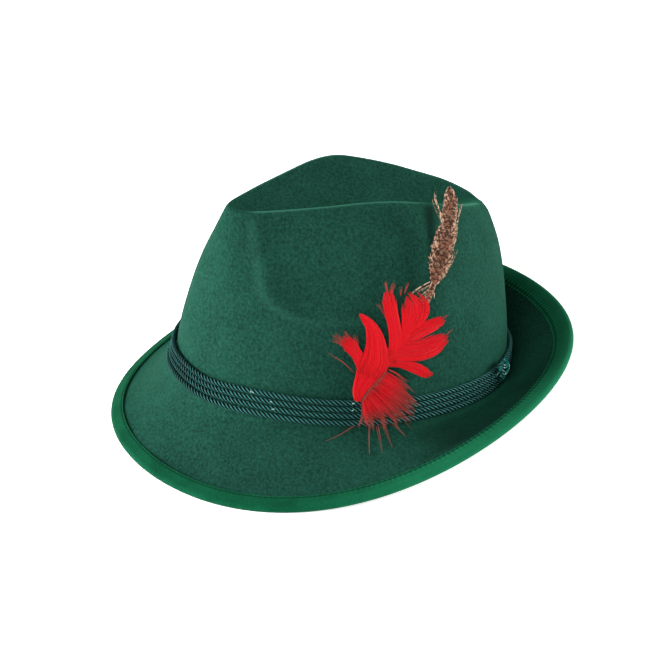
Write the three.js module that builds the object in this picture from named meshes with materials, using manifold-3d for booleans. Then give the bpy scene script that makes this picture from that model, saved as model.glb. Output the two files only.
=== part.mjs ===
// Felt tyrolean hat with a bound brim, four twisted hat cords and two feathers.
// Millimetres, +Z up. The hat's front points along -Y and the wearer's left, where the feathers are, along +X.
// Each piece is shaped in the head frame, whose plane z = 0 is the head line, and then laid down on the ground as
// the hat rests by itself: on the back of the head line and on the two front quarters of the brim.
import * as THREE from 'three';
import { mergeVertices } from 'three/addons/utils/BufferGeometryUtils.js';
import Module from 'manifold-3d';

const wasm = await Module();
wasm.setup();

// Felt body
const headLength = 200.6; // inside the head line, front to back
const headWidth = 166; // inside the head line, side to side
const feltWall = 2;
const crownHeight = 114.7; // head line to the highest point of the crown's upper edge
const crownTopLength = 161.1; // upper edge, front to back
const crownTopWidth = 77.6; // upper edge, side to side at its widest
const topDentDepth = 24; // below the upper edge, where the crown is widest
const topDentPower = 1.7; // how slowly the dent starts at its front and back ends
const topDentHollow = 1.5; // how steeply the dent falls away from the upper edge, 1 for an even slope
const pinchDepth = 5.5; // how far each front side of the crown is pressed in
const pinchFloor = 57.9; // height above the head line where a pinch ends
const brimFrontWidth = 36.5; // head line to the finished edge, level
const brimSideWidth = 44.3;
const brimBackWidth = 34.9;
const brimFrontDrop = 39.4; // finished edge below the head line
const brimSideDrop = 6.3;
const brimBackRise = 30.8; // finished edge above the head line
const brimQuarterDip = 6.3; // front quarters below, and back quarters above, an even curve
const frontCorner = 8; // size of the rounded corner between the crown and the brim, at the front
const backCorner = 4;
const crownEdgeCorner = 3.5; // size of the rounded upper edge of the crown
const restFlattening = 0.5; // how far the cloth is pressed flat where the hat rests

// Brim binding, a folded tape
const tapeWidth = 9.5; // on each face of the brim
const tapeThickness = 1;

// Hat cords
const cordCount = 4;
const cordThickness = 3.2;

// Knot that joins the cords
const knotAngle = 136; // degrees round the crown from the front
const knotHeight = 9.5; // along the crown's height
const knotWidth = 6.5;
const knotThickness = 2.4;
const knotRingRadius = 2.2;
const knotRingWire = 1.1;

// Feathers, which lie in one plane that leans against the crown
const featherAngle = 73.8; // degrees round the crown from the front to the feathers' foot
const featherTurn = 10; // degrees that the feathers face further back than the crown does at their foot
const featherSweep = 40; // degrees of the crown that the feathers lie over
const redFeatherLength = 60;
const redFeatherThickness = 1.3;
const brownFeatherLength = 114;
const brownFeatherThickness = 1;

const clearance = 0.3; // between neighbouring pieces
const settleStep = 0.02; // how finely a cord is moved until it clears the brim
const stations = 56; // sections round the hat

const degree = Math.PI / 180;

// The crown's upper edge on the wearer's left, from the front to the back. Angle is in degrees round the hat,
// along a share of half the top's length, across a share of half its width, rise a share of the crown's height.
const crownEdgeTable = [
  { angle: 0, along: -1, across: 0, rise: 0.881 },
  { angle: 8, along: -0.989, across: 0.098, rise: 0.886 },
  { angle: 15, along: -0.961, across: 0.178, rise: 0.892 },
  { angle: 22, along: -0.917, across: 0.248, rise: 0.898 },
  { angle: 30, along: -0.825, across: 0.349, rise: 0.907 },
  { angle: 45, along: -0.62, across: 0.554, rise: 0.933 },
  { angle: 60, along: -0.41, across: 0.742, rise: 0.962 },
  { angle: 75, along: -0.187, across: 0.912, rise: 0.992 },
  { angle: 90, along: 0.025, across: 0.998, rise: 1 },
  { angle: 105, along: 0.236, across: 0.987, rise: 0.979 },
  { angle: 120, along: 0.447, across: 0.897, rise: 0.948 },
  { angle: 135, along: 0.645, across: 0.732, rise: 0.915 },
  { angle: 150, along: 0.82, across: 0.528, rise: 0.886 },
  { angle: 165, along: 0.962, across: 0.296, rise: 0.852 },
  { angle: 180, along: 1, across: 0, rise: 0.822 },
];

// How the crown's wall draws in with height: by height ^ power, with a last share that comes at the very top.
const wallDrawTable = { frontPower: 1.74, sidePower: 1.94, backPower: 1.88, sideTopShare: 0.12, topPower: 8 };

// Where the wall is shaped, as shares of its height: below the pinch, above the pinch's floor, and near the top.
const wallShareTable = { low: [0.16, 0.3, 0.42], overFloor: [0, 0.07, 0.15], high: [0.77, 0.88] };

// The pinch's front edge meets the upper edge at frontAngle and slants back by slant degrees over the whole height.
// It fades out at backAngle. Its corner is as wide as cornerAngle and as high as cornerShare of the crown's height.
const pinchTable = { frontAngle: 25, slant: 28, backAngle: 105, cornerAngle: 26, cornerShare: 0.16 };

// How the brim's slope compares with the straight line from the head line to the edge.
const brimSlopeTable = { frontRoot: 1.6, backRoot: 0.6, edge: 0.38 };

// How the cords lie round the crown, as shares of a cord's thickness: lift is from the head line to the underside
// of the lowest cord, spread is the extra room between neighbouring cords. They sag where the front is snapped down.
const bandTable = [
  { angle: 0, lift: -0.56, spread: 0.03 },
  { angle: 18, lift: -0.58, spread: 0.01 },
  { angle: 30, lift: -0.36, spread: 0.11 },
  { angle: 41, lift: 0.02, spread: 0.14 },
  { angle: 60, lift: 0.13, spread: 0.12 },
  { angle: 90, lift: 0.31, spread: 0.08 },
  { angle: 120, lift: 0.5, spread: 0.04 },
  { angle: 150, lift: 0.64, spread: 0.01 },
  { angle: 180, lift: 0.69, spread: 0 },
  { angle: 210, lift: 0.64, spread: 0.01 },
  { angle: 240, lift: 0.5, spread: 0.02 },
  { angle: 270, lift: 0.31, spread: 0.02 },
  { angle: 300, lift: -0.2, spread: 0.02 },
  { angle: 325, lift: -0.8, spread: 0.02 },
  { angle: 345, lift: -0.85, spread: 0.03 },
  { angle: 360, lift: -0.56, spread: 0.03 },
];

// The knot's bar from its lower end to its upper end: up is a share of its height, width and depth are shares of its
// width and thickness.
const knotBarTable = [
  { up: -0.5, width: 0.55, depth: 0.45 },
  { up: -0.3, width: 0.9, depth: 0.85 },
  { up: 0, width: 1, depth: 1 },
  { up: 0.3, width: 0.9, depth: 0.85 },
  { up: 0.5, width: 0.55, depth: 0.45 },
];

// Outline of each lock of the red feather, as shares of its length in the feathers' plane: back is towards the
// hat's back, up is up the crown, half is half the lock's width there.
const redLocks = {
  stem: [
    { back: -0.039, up: 0.092, half: 0.035 },
    { back: -0.021, up: 0.199, half: 0.081 },
    { back: 0.055, up: 0.334, half: 0.104 },
    { back: 0.170, up: 0.423, half: 0.081 },
    { back: 0.285, up: 0.523, half: 0.052 },
  ],
  first: [
    { back: 0.250, up: 0.482, half: 0.026 },
    { back: 0.306, up: 0.651, half: 0.060 },
    { back: 0.277, up: 0.847, half: 0.057 },
    { back: 0.242, up: 1.010, half: 0.056 },
    { back: 0.233, up: 1.069, half: 0.028 },
  ],
  second: [
    { back: 0.343, up: 0.519, half: 0.035 },
    { back: 0.441, up: 0.675, half: 0.070 },
    { back: 0.477, up: 0.835, half: 0.111 },
    { back: 0.471, up: 0.964, half: 0.091 },
    { back: 0.437, up: 1.036, half: 0.050 },
  ],
  third: [
    { back: 0.424, up: 0.557, half: 0.035 },
    { back: 0.540, up: 0.646, half: 0.069 },
    { back: 0.657, up: 0.704, half: 0.057 },
    { back: 0.750, up: 0.747, half: 0.047 },
    { back: 0.809, up: 0.754, half: 0.022 },
  ],
  fourth: [
    { back: 0.342, up: 0.486, half: 0.049 },
    { back: 0.493, up: 0.486, half: 0.083 },
    { back: 0.645, up: 0.508, half: 0.096 },
    { back: 0.774, up: 0.554, half: 0.078 },
    { back: 0.839, up: 0.604, half: 0.023 },
  ],
  fifth: [
    { back: 0.238, up: 0.396, half: 0.030 },
    { back: 0.353, up: 0.366, half: 0.032 },
    { back: 0.469, up: 0.330, half: 0.034 },
    { back: 0.586, up: 0.272, half: 0.032 },
    { back: 0.680, up: 0.245, half: 0.011 },
  ],
  forward: [
    { back: 0.100, up: 0.320, half: 0.092 },
    { back: 0.113, up: 0.481, half: 0.097 },
    { back: 0.097, up: 0.622, half: 0.078 },
    { back: 0.035, up: 0.755, half: 0.038 },
    { back: -0.043, up: 0.856, half: 0.009 },
  ],
  tuft: [
    { back: 0.008, up: 0.262, half: 0.066 },
    { back: -0.047, up: 0.396, half: 0.049 },
    { back: -0.114, up: 0.508, half: 0.054 },
    { back: -0.181, up: 0.598, half: 0.059 },
    { back: -0.242, up: 0.656, half: 0.026 },
  ],
  down: [
    { back: 0.042, up: 0.162, half: 0.048 },
    { back: 0.145, up: 0.132, half: 0.097 },
    { back: 0.283, up: 0.088, half: 0.129 },
    { back: 0.398, up: 0.045, half: 0.109 },
    { back: 0.515, up: 0.036, half: 0.044 },
  ],
  skirt: [
    { back: -0.032, up: 0.120, half: 0.038 },
    { back: 0.029, up: -0.001, half: 0.070 },
    { back: 0.086, up: -0.082, half: 0.088 },
    { back: 0.120, up: -0.145, half: 0.050 },
  ],
};

// Outline of the brown feather, as shares of its length: a bare quill, a wide vane and a narrow tip.
const brownVane = [
  { back: -0.005, up: 0.047, half: 0.008 },
  { back: 0.063, up: 0.105, half: 0.009 },
  { back: 0.130, up: 0.178, half: 0.010 },
  { back: 0.245, up: 0.316, half: 0.013 },
  { back: 0.319, up: 0.458, half: 0.014 },
  { back: 0.346, up: 0.524, half: 0.018 },
  { back: 0.367, up: 0.570, half: 0.015 },
  { back: 0.375, up: 0.587, half: 0.026 },
  { back: 0.391, up: 0.630, half: 0.047 },
  { back: 0.400, up: 0.672, half: 0.060 },
  { back: 0.409, up: 0.715, half: 0.062 },
  { back: 0.419, up: 0.758, half: 0.059 },
  { back: 0.432, up: 0.800, half: 0.055 },
  { back: 0.443, up: 0.843, half: 0.047 },
  { back: 0.451, up: 0.885, half: 0.039 },
  { back: 0.454, up: 0.928, half: 0.040 },
  { back: 0.455, up: 0.971, half: 0.034 },
  { back: 0.452, up: 1.013, half: 0.023 },
  { back: 0.449, up: 1.035, half: 0.007 },
];

const headHalfLength = headLength / 2 + feltWall;
const headHalfWidth = headWidth / 2 + feltWall;

// Smooth curve through a table's rows that repeats every full turn.
function followRound(rows, columns, angle) {
  const turned = ((angle % 360) + 360) % 360;
  const count = rows.length - 1;
  let row = 0;
  while (row < count - 1 && rows[row + 1].angle <= turned) row += 1;
  const here = rows[row];
  const next = rows[row + 1];
  const before = row === 0 ? { ...rows[count - 1], angle: rows[count - 1].angle - 360 } : rows[row - 1];
  const after = row === count - 1 ? { ...rows[1], angle: rows[1].angle + 360 } : rows[row + 2];
  const span = next.angle - here.angle;
  const t = (turned - here.angle) / span;
  return columns.map((column) => {
    const startSlope = ((next[column] - before[column]) / (next.angle - before.angle)) * span;
    const endSlope = ((after[column] - here[column]) / (after.angle - here.angle)) * span;
    return (
      here[column] * (1 + 2 * t) * (1 - t) ** 2 +
      startSlope * t * (1 - t) ** 2 +
      next[column] * t * t * (3 - 2 * t) +
      endSlope * t * t * (t - 1)
    );
  });
}

const mirroredEdge = crownEdgeTable
  .slice(1, -1)
  .reverse()
  .map((row) => ({ ...row, angle: 360 - row.angle, across: -row.across }));
const fullCrownEdge = [...crownEdgeTable, ...mirroredEdge, { ...crownEdgeTable[0], angle: 360 }];

function crownEdge(angle) {
  const [along, across, rise] = followRound(fullCrownEdge, ['along', 'across', 'rise'], angle);
  return new THREE.Vector3((across * crownTopWidth) / 2, (along * crownTopLength) / 2, rise * crownHeight);
}

function headLine(angle) {
  const turn = angle * degree;
  return new THREE.Vector3(headHalfWidth * Math.sin(turn), -headHalfLength * Math.cos(turn), 0);
}

// Level direction that points straight out of the head line.
function outward(angle) {
  const turn = angle * degree;
  return new THREE.Vector3(Math.sin(turn) / headHalfWidth, -Math.cos(turn) / headHalfLength, 0).normalize();
}

// 0 outside, rising to 1 with a crisp start and a soft end.
const pressIn = (share) => Math.sin((Math.PI / 2) * Math.min(Math.max(share, 0), 1));

// How deep the pinch is at a share of the crown's height. Its front edge slants forward as it rises, and its lower
// front corner is round.
function pinch(angle, share) {
  const side = angle > 180 ? 360 - angle : angle;
  const floor = pinchFloor / crownHeight;
  const { frontAngle, slant, backAngle, cornerAngle, cornerShare } = pinchTable;
  const frontEdge = frontAngle + slant * (1 - share);
  const fromFront = Math.min(Math.max((side - frontEdge) / cornerAngle, 0), 1);
  const fromFloor = Math.min(Math.max((share - floor) / cornerShare, 0), 1);
  const inside = 1 - Math.hypot(1 - fromFront, 1 - fromFloor);
  const towardsBack = Math.min(Math.max((backAngle - side) / (backAngle - frontEdge - cornerAngle), 0), 1);
  const towardsTop = 1 - ((share - floor) / (1 - floor)) ** 2;
  return pinchDepth * pressIn(inside) * pressIn(towardsBack) * Math.max(towardsTop, 0);
}

// Outer face of the crown's wall at a share of its height.
function wallPoint(angle, share) {
  const turn = angle * degree;
  const front = Math.max(Math.cos(turn), 0) ** 2;
  const back = Math.max(-Math.cos(turn), 0) ** 2;
  const side = 1 - front - back;
  const { frontPower, sidePower, backPower, sideTopShare, topPower } = wallDrawTable;
  const sideDraw = (1 - sideTopShare) * share ** sidePower + sideTopShare * share ** topPower;
  const draw = front * share ** frontPower + side * sideDraw + back * share ** backPower;
  const edge = crownEdge(angle);
  const point = headLine(angle).lerp(edge, draw);
  point.addScaledVector(outward(angle), -pinch(angle, share));
  point.z = edge.z * share;
  return point;
}

const headLineCorner = (angle) =>
  (frontCorner + backCorner) / 2 + ((frontCorner - backCorner) / 2) * Math.cos(angle * degree);

function brimReach(angle) {
  const cosine = Math.cos(angle * degree);
  const even = (brimFrontWidth * (1 + cosine)) / 2 + (brimBackWidth * (1 - cosine)) / 2;
  const sideExtra = brimSideWidth - (brimFrontWidth + brimBackWidth) / 2;
  return even + sideExtra * (1 - cosine * cosine);
}

function brimLift(angle) {
  const cosine = Math.cos(angle * degree);
  const middle = ((brimBackRise - brimFrontDrop) / 2 - brimSideDrop) / 2;
  const sideSwing = ((brimBackRise - brimFrontDrop) / 2 + brimSideDrop) / 2;
  const dipPeak = 2 / (3 * Math.sqrt(3)); // highest value of sin^2 * cos
  const dip = (brimQuarterDip * (1 - cosine * cosine) * cosine) / dipPeak;
  return middle - (cosine * (brimBackRise + brimFrontDrop)) / 2 + sideSwing * (2 * cosine * cosine - 1) - dip;
}

// Upper face of the brim at a share of the way from the head line to the finished edge.
function brimPoint(angle, share) {
  const cosine = Math.cos(angle * degree);
  const { frontRoot, backRoot, edge } = brimSlopeTable;
  const root = (frontRoot * (1 + cosine)) / 2 + (backRoot * (1 - cosine)) / 2;
  const lift =
    root * share * (1 - share) ** 2 + share * share * (3 - 2 * share) + edge * share * share * (share - 1);
  const point = headLine(angle).addScaledVector(outward(angle), brimReach(angle) * share);
  point.z = brimLift(angle) * lift;
  return point;
}

// Point of the dented top, from the upper edge (share 1) to the middle line (share 0).
function topPoint(angle, share) {
  const point = crownEdge(angle);
  const depth = topDentDepth * Math.abs(Math.sin(angle * degree)) ** topDentPower;
  point.z -= depth * (1 - share ** topDentHollow);
  point.x *= share;
  return point;
}

const curveThrough = (from, corner, to, t) =>
  from
    .clone()
    .multiplyScalar((1 - t) ** 2)
    .addScaledVector(corner, 2 * t * (1 - t))
    .addScaledVector(to, t * t);

// Outer and upper face of the felt at one angle, from the edge under the tape, over the brim, the crown's wall and
// the upper edge, to the middle line of the top dent.
function feltSection(angle) {
  const reach = brimReach(angle);
  const feltEdge = 1 - (tapeThickness + clearance) / reach;
  const besideTape = 1 - (tapeThickness + clearance + tapeWidth + 2) / reach;
  const corner = headLineCorner(angle);
  const cornerBrim = corner / reach;
  const points = [brimPoint(angle, feltEdge)];
  for (const t of [0, 0.25, 0.5, 0.75]) points.push(brimPoint(angle, besideTape + (cornerBrim - besideTape) * t));
  const height = crownEdge(angle).z;
  const brimSide = brimPoint(angle, cornerBrim);
  const wallSide = wallPoint(angle, corner / height);
  for (const t of [0, 0.25, 0.5, 0.75, 1]) points.push(curveThrough(brimSide, headLine(angle), wallSide, t));
  const wallTop = 1 - crownEdgeCorner / height;
  const overFloor = wallShareTable.overFloor.map((share) => pinchFloor / crownHeight + share);
  for (const share of [...wallShareTable.low, ...overFloor, ...wallShareTable.high]) {
    points.push(wallPoint(angle, share));
  }
  const edge = crownEdge(angle);
  const topSide = Math.max(1 - crownEdgeCorner / Math.max(Math.abs(edge.x), crownEdgeCorner * 1.6), 0);
  for (const t of [0, 0.5, 1]) {
    points.push(curveThrough(wallPoint(angle, wallTop), edge, topPoint(angle, topSide), t));
  }
  for (const share of [0.7, 0.4, 0.18, 0]) points.push(topPoint(angle, topSide * share));
  return points;
}

const stationAngles = Array.from({ length: stations }, (unused, index) => (360 * index) / stations);

// Triangles of a grid whose rows close round the hat.
function gridFaces(rowCount, columnCount, firstVertex, flipped) {
  const faces = [];
  for (let row = 0; row < rowCount - 1; row += 1) {
    for (let column = 0; column < columnCount; column += 1) {
      const nextColumn = (column + 1) % columnCount;
      const a = firstVertex + row * columnCount + column;
      const b = firstVertex + row * columnCount + nextColumn;
      const c = firstVertex + (row + 1) * columnCount + nextColumn;
      const d = firstVertex + (row + 1) * columnCount + column;
      faces.push(...(flipped ? [a, c, b, a, d, c] : [a, b, c, a, c, d]));
    }
  }
  return faces;
}

function geometryFrom(points, faces) {
  const geometry = new THREE.BufferGeometry();
  const positions = new Float32Array(points.flatMap((point) => [point.x, point.y, point.z]));
  geometry.setAttribute('position', new THREE.BufferAttribute(positions, 3));
  geometry.setIndex(faces);
  return mergeVertices(geometry, 1e-4);
}

// Closed solid from loose triangles, without those that have no area.
function solidFrom(geometry) {
  const welded = geometry.clone();
  for (const name of ['normal', 'uv']) welded.deleteAttribute(name);
  const merged = mergeVertices(welded, 1e-4);
  const index = merged.index.array;
  const triangles = [];
  for (let i = 0; i < index.length; i += 3) {
    const [a, b, c] = [index[i], index[i + 1], index[i + 2]];
    if (a !== b && b !== c && c !== a) triangles.push(a, b, c);
  }
  const vertProperties = new Float32Array(merged.attributes.position.array);
  return new wasm.Manifold(new wasm.Mesh({ numProp: 3, vertProperties, triVerts: new Uint32Array(triangles) }));
}

function geometryOf(solid) {
  const { vertProperties, triVerts, numProp } = solid.getMesh();
  const geometry = new THREE.BufferGeometry();
  const positions = new Float32Array((vertProperties.length / numProp) * 3);
  for (let i = 0; i < positions.length / 3; i += 1) {
    for (let axis = 0; axis < 3; axis += 1) positions[i * 3 + axis] = vertProperties[i * numProp + axis];
  }
  geometry.setAttribute('position', new THREE.BufferAttribute(positions, 3));
  geometry.setIndex(Array.from(triVerts));
  return geometry;
}

// Felt body: the outer face, and an inner face one wall behind it.
const outerFace = [];
{
  const sections = stationAngles.map(feltSection);
  for (let row = 0; row < sections[0].length; row += 1) {
    for (const section of sections) outerFace.push(section[row]);
  }
}
const faceRows = outerFace.length / stations;

function faceNormals(points) {
  const faces = gridFaces(faceRows, stations, 0, false);
  const merged = geometryFrom(points, faces);
  merged.computeVertexNormals();
  const normals = points.map(() => new THREE.Vector3());
  faces.forEach((vertex, order) => {
    normals[vertex].fromBufferAttribute(merged.attributes.normal, merged.index.array[order]);
  });
  return normals;
}

const outerNormals = faceNormals(outerFace);
const innerFace = outerFace.map((point, index) => point.clone().addScaledVector(outerNormals[index], -feltWall));

function makeFeltBody() {
  const count = outerFace.length;
  const faces = [...gridFaces(faceRows, stations, 0, false), ...gridFaces(faceRows, stations, count, true)];
  for (let column = 0; column < stations; column += 1) {
    const next = (column + 1) % stations;
    faces.push(column, count + column, count + next, column, count + next, next);
  }
  return solidFrom(geometryFrom([...outerFace, ...innerFace], faces));
}

// Closed band from one closed section at each station.
function sweepRound(sections) {
  const sides = sections[0].length;
  const points = sections.flat();
  const faces = [];
  for (let station = 0; station < sections.length; station += 1) {
    const nextStation = (station + 1) % sections.length;
    for (let side = 0; side < sides; side += 1) {
      const nextSide = (side + 1) % sides;
      const a = station * sides + side;
      const b = station * sides + nextSide;
      const c = nextStation * sides + nextSide;
      const d = nextStation * sides + side;
      faces.push(a, b, c, a, c, d);
    }
  }
  return solidFrom(geometryFrom(points, faces));
}

// The folded tape follows the felt's upper and lower face at each station.
function makeBinding() {
  const sections = stationAngles.map((angle, station) => {
    const top = outerFace[station];
    const topInside = outerFace[stations + station];
    const under = innerFace[station];
    const underInside = innerFace[stations + station];
    const topRun = topInside.clone().sub(top).normalize();
    const underRun = underInside.clone().sub(under).normalize();
    const up = top.clone().sub(under).normalize();
    const place = (from, run, along, rise) => from.clone().addScaledVector(run, along).addScaledVector(up, rise);
    const outer = clearance + tapeThickness;
    return [
      place(top, topRun, tapeWidth, outer),
      place(top, topRun, 0, outer),
      place(top, topRun, -outer, 0),
      place(under, underRun, -outer, 0),
      place(under, underRun, 0, -outer),
      place(under, underRun, tapeWidth, -outer),
      place(under, underRun, tapeWidth, -clearance),
      place(under, underRun, -clearance, -clearance),
      place(top, topRun, -clearance, clearance),
      place(top, topRun, tapeWidth, clearance),
    ];
  });
  return sweepRound(sections);
}

// A height on the crown's wall, or on the rounded corner below it, as a point of the felt's outer face.
function bandSurface(angle, height) {
  const corner = headLineCorner(angle);
  const edgeHeight = crownEdge(angle).z;
  if (height >= corner) return wallPoint(angle, height / edgeHeight);
  const brimSide = brimPoint(angle, corner / brimReach(angle));
  const wallSide = wallPoint(angle, corner / edgeHeight);
  let t = 1;
  while (t > 0 && curveThrough(brimSide, headLine(angle), wallSide, t).z > height) t -= 0.01;
  return curveThrough(brimSide, headLine(angle), wallSide, t);
}

// Centre of the lowest cord, which lies on the crown's wall as low as the brim's root lets it.
function lowestCord(angle) {
  const radius = cordThickness / 2;
  const out = outward(angle);
  const root = feltSection(angle).slice(1, 14);
  const [lift] = followRound(bandTable, ['lift'], angle);
  const isClear = (centre) => {
    for (let i = 0; i < root.length - 1; i += 1) {
      const nearest = new THREE.Line3(root[i], root[i + 1]).closestPointToPoint(centre, true, new THREE.Vector3());
      if (nearest.distanceTo(centre) < radius + clearance) return false;
    }
    return true;
  };
  const centre = bandSurface(angle, lift * cordThickness + radius);
  centre.addScaledVector(out, radius + clearance);
  for (let moved = 0; moved < cordThickness && !isClear(centre); moved += settleStep) {
    centre.addScaledVector(out, settleStep);
    centre.z += settleStep;
  }
  return centre;
}

// Centre of each cord at one angle: each upper cord lies on the wall one pitch above the one below.
function cordCentre(index, angle) {
  const lowest = lowestCord(angle);
  if (index === 0) return lowest;
  const [spread] = followRound(bandTable, ['spread'], angle);
  const pitch = cordThickness * (1 + spread) + clearance;
  const height = lowest.z + pitch * index;
  return bandSurface(angle, height).addScaledVector(outward(angle), cordThickness / 2 + clearance);
}

function makeCord(index) {
  const sides = 6;
  const radius = cordThickness / 2;
  const sections = stationAngles.map((angle) => {
    const centre = cordCentre(index, angle);
    return Array.from({ length: sides }, (unused, side) => {
      const turn = (-2 * Math.PI * (side + 0.5)) / sides;
      const point = centre.clone().addScaledVector(outward(angle), radius * Math.cos(turn));
      point.z += radius * Math.sin(turn);
      return point;
    });
  });
  return sweepRound(sections);
}

// Closed solid through a row of closed sections, capped flat at both ends.
function loft(sections) {
  const sides = sections[0].length;
  const points = sections.flat();
  const faces = [];
  for (let row = 0; row < sections.length - 1; row += 1) {
    for (let side = 0; side < sides; side += 1) {
      const nextSide = (side + 1) % sides;
      const a = row * sides + side;
      const b = row * sides + nextSide;
      faces.push(a, b + sides, b, a, a + sides, b + sides);
    }
  }
  const last = (sections.length - 1) * sides;
  for (let side = 1; side < sides - 1; side += 1) {
    faces.push(0, side, side + 1, last, last + side + 1, last + side);
  }
  return solidFrom(geometryFrom(points, faces));
}

// The knot: a rounded bar across the upper cords, with a small ring at its lower end.
function makeKnot() {
  const out = outward(knotAngle);
  const round = new THREE.Vector3(-out.y, out.x, 0);
  const upperCord = cordCentre(cordCount - 1, knotAngle);
  const seat = cordCentre(cordCount - 2, knotAngle).lerp(upperCord, 0.5);
  seat.addScaledVector(out, cordThickness / 2 + clearance);
  const frame = new THREE.Matrix4().makeBasis(round, new THREE.Vector3(0, 0, 1), out).setPosition(seat);
  const sections = knotBarTable.map(({ up, width, depth }) =>
    Array.from({ length: 8 }, (unused, side) => {
      const turn = (2 * Math.PI * side) / 8;
      const across = (Math.cos(turn) * knotWidth * width) / 2;
      const rise = knotThickness * (0.5 - depth / 2 + (depth * (1 + Math.sin(turn))) / 2);
      return new THREE.Vector3(across, up * knotHeight, rise).applyMatrix4(frame);
    }),
  );
  const ring = new THREE.TorusGeometry(knotRingRadius, knotRingWire / 2, 6, 12);
  ring.translate(0, -knotHeight / 2 - knotRingRadius * 0.6, knotThickness / 2).applyMatrix4(frame);
  return loft(sections).add(solidFrom(ring));
}

// The feathers' plane stands on the cords and leans in as far as the bulge of the crown lets it.
const featherLayer = brownFeatherThickness / 2 + clearance; // half a feather and its gap
const layerPitch = (brownFeatherThickness + redFeatherThickness) / 2 + 3 * clearance;
const featherSide = outward(featherAngle + featherTurn);
const featherBase = cordCentre(cordCount - 1, featherAngle);
const cordBulge = [0, 0.25, 0.5, 0.75, 1].map((share) => {
  const beside = cordCentre(cordCount - 1, featherAngle + 2 * featherTurn * share);
  return beside.sub(featherBase).dot(featherSide);
});
featherBase.addScaledVector(featherSide, Math.max(...cordBulge) + cordThickness / 2 + featherLayer);
const featherLean = (() => {
  let lean = Infinity;
  for (let angle = featherAngle; angle < featherAngle + featherSweep; angle += 4) {
    for (let share = 0.3; share < 1; share += 0.05) {
      const wall = wallPoint(angle, share);
      const room = featherBase.clone().sub(wall).dot(featherSide) - featherLayer;
      lean = Math.min(lean, Math.atan2(room, wall.z - featherBase.z));
    }
  }
  return lean;
})();
const featherBack = new THREE.Vector3(-featherSide.y, featherSide.x, 0);
const featherFace = featherSide.clone().applyAxisAngle(featherBack, -featherLean);
const featherUp = featherFace.clone().cross(featherBack);

// A flat lock or vane with a thin edge, from its table of outline rows.
function makeLock(rows, length, thickness, layer) {
  const at = (row) =>
    featherBase
      .clone()
      .addScaledVector(featherBack, row.back * length)
      .addScaledVector(featherUp, row.up * length)
      .addScaledVector(featherFace, layer);
  const sections = rows.map((row, index) => {
    const before = at(rows[Math.max(index - 1, 0)]);
    const after = at(rows[Math.min(index + 1, rows.length - 1)]);
    const along = after.sub(before).normalize();
    const across = along.cross(featherFace).multiplyScalar(row.half * length);
    const centre = at(row);
    const rise = featherFace.clone().multiplyScalar(thickness / 2);
    return [
      centre.clone().add(across),
      centre.clone().addScaledVector(across, 0.4).add(rise),
      centre.clone().addScaledVector(across, -0.4).add(rise),
      centre.clone().sub(across),
      centre.clone().addScaledVector(across, -0.4).sub(rise),
      centre.clone().addScaledVector(across, 0.4).sub(rise),
    ];
  });
  return loft(sections);
}

const makeBrownFeather = () => makeLock(brownVane, brownFeatherLength, brownFeatherThickness, 0);

function makeRedFeather() {
  const locks = Object.values(redLocks).map((rows) =>
    makeLock(rows, redFeatherLength, redFeatherThickness, layerPitch),
  );
  return locks.reduce((joined, lock) => joined.add(lock));
}

// Front up about the head line's middle until the back of the head line and the brim's front quarters are level.
function restTilt(points) {
  const lowest = (tilt, isFront) => {
    let low = Infinity;
    for (const point of points) {
      if (point.y < 0 === isFront) low = Math.min(low, point.z * Math.cos(tilt) - point.y * Math.sin(tilt));
    }
    return low;
  };
  let low = 0;
  let high = 30 * degree;
  for (let step = 0; step < 40; step += 1) {
    const tilt = (low + high) / 2;
    if (lowest(tilt, true) < lowest(tilt, false)) low = tilt;
    else high = tilt;
  }
  return (low + high) / 2;
}

const felt = (color) => new THREE.MeshStandardMaterial({ color, roughness: 0.95, metalness: 0 });
const feltGreen = felt(0x1f5a48);
const tapeGreen = felt(0x17684a);
const cordTeal = new THREE.MeshStandardMaterial({ color: 0x1b3939, roughness: 0.5, metalness: 0 });
const featherRed = new THREE.MeshStandardMaterial({ color: 0xd5212f, roughness: 0.7, metalness: 0 });
const featherBrown = new THREE.MeshStandardMaterial({ color: 0x886453, roughness: 0.7, metalness: 0 });

const pieces = [
  { name: 'felt_body', solid: makeFeltBody(), material: feltGreen },
  { name: 'brim_binding', solid: makeBinding(), material: tapeGreen },
  ...Array.from({ length: cordCount }, (unused, index) => ({
    name: `hat_cord_${index + 1}`,
    solid: makeCord(index),
    material: cordTeal,
  })),
  { name: 'cord_knot', solid: makeKnot(), material: cordTeal },
  { name: 'red_feather', solid: makeRedFeather(), material: featherRed },
  { name: 'brown_feather', solid: makeBrownFeather(), material: featherBrown },
];

function pointsOf(geometry) {
  const position = geometry.attributes.position;
  return Array.from({ length: position.count }, (unused, i) => new THREE.Vector3().fromBufferAttribute(position, i));
}

const restingPoints = pieces.slice(0, 2).flatMap(({ solid }) => pointsOf(geometryOf(solid)));
const tilt = restTilt(restingPoints);
const toRest = new THREE.Matrix4().makeRotationX(-tilt);
const restedBox = new THREE.Box3().setFromPoints(restingPoints.map((point) => point.applyMatrix4(toRest)));
const middleY = (restedBox.min.y + restedBox.max.y) / 2;
toRest.premultiply(new THREE.Matrix4().makeTranslation(0, -middleY, -restedBox.min.z - restFlattening));

// Everything below the ground, which the cloth is pressed flat against.
const groundSize = 3 * headLength;
const groundBox = new THREE.BoxGeometry(groundSize, groundSize, crownHeight).translate(0, 0, -crownHeight / 2);
const ground = solidFrom(groundBox);

const hat = new THREE.Group();
for (const { name, solid, material } of pieces) {
  const rested = solidFrom(geometryOf(solid).applyMatrix4(toRest)).subtract(ground);
  const mesh = new THREE.Mesh(geometryOf(rested), material);
  mesh.name = name;
  hat.add(mesh);
}

export default hat;
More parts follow.
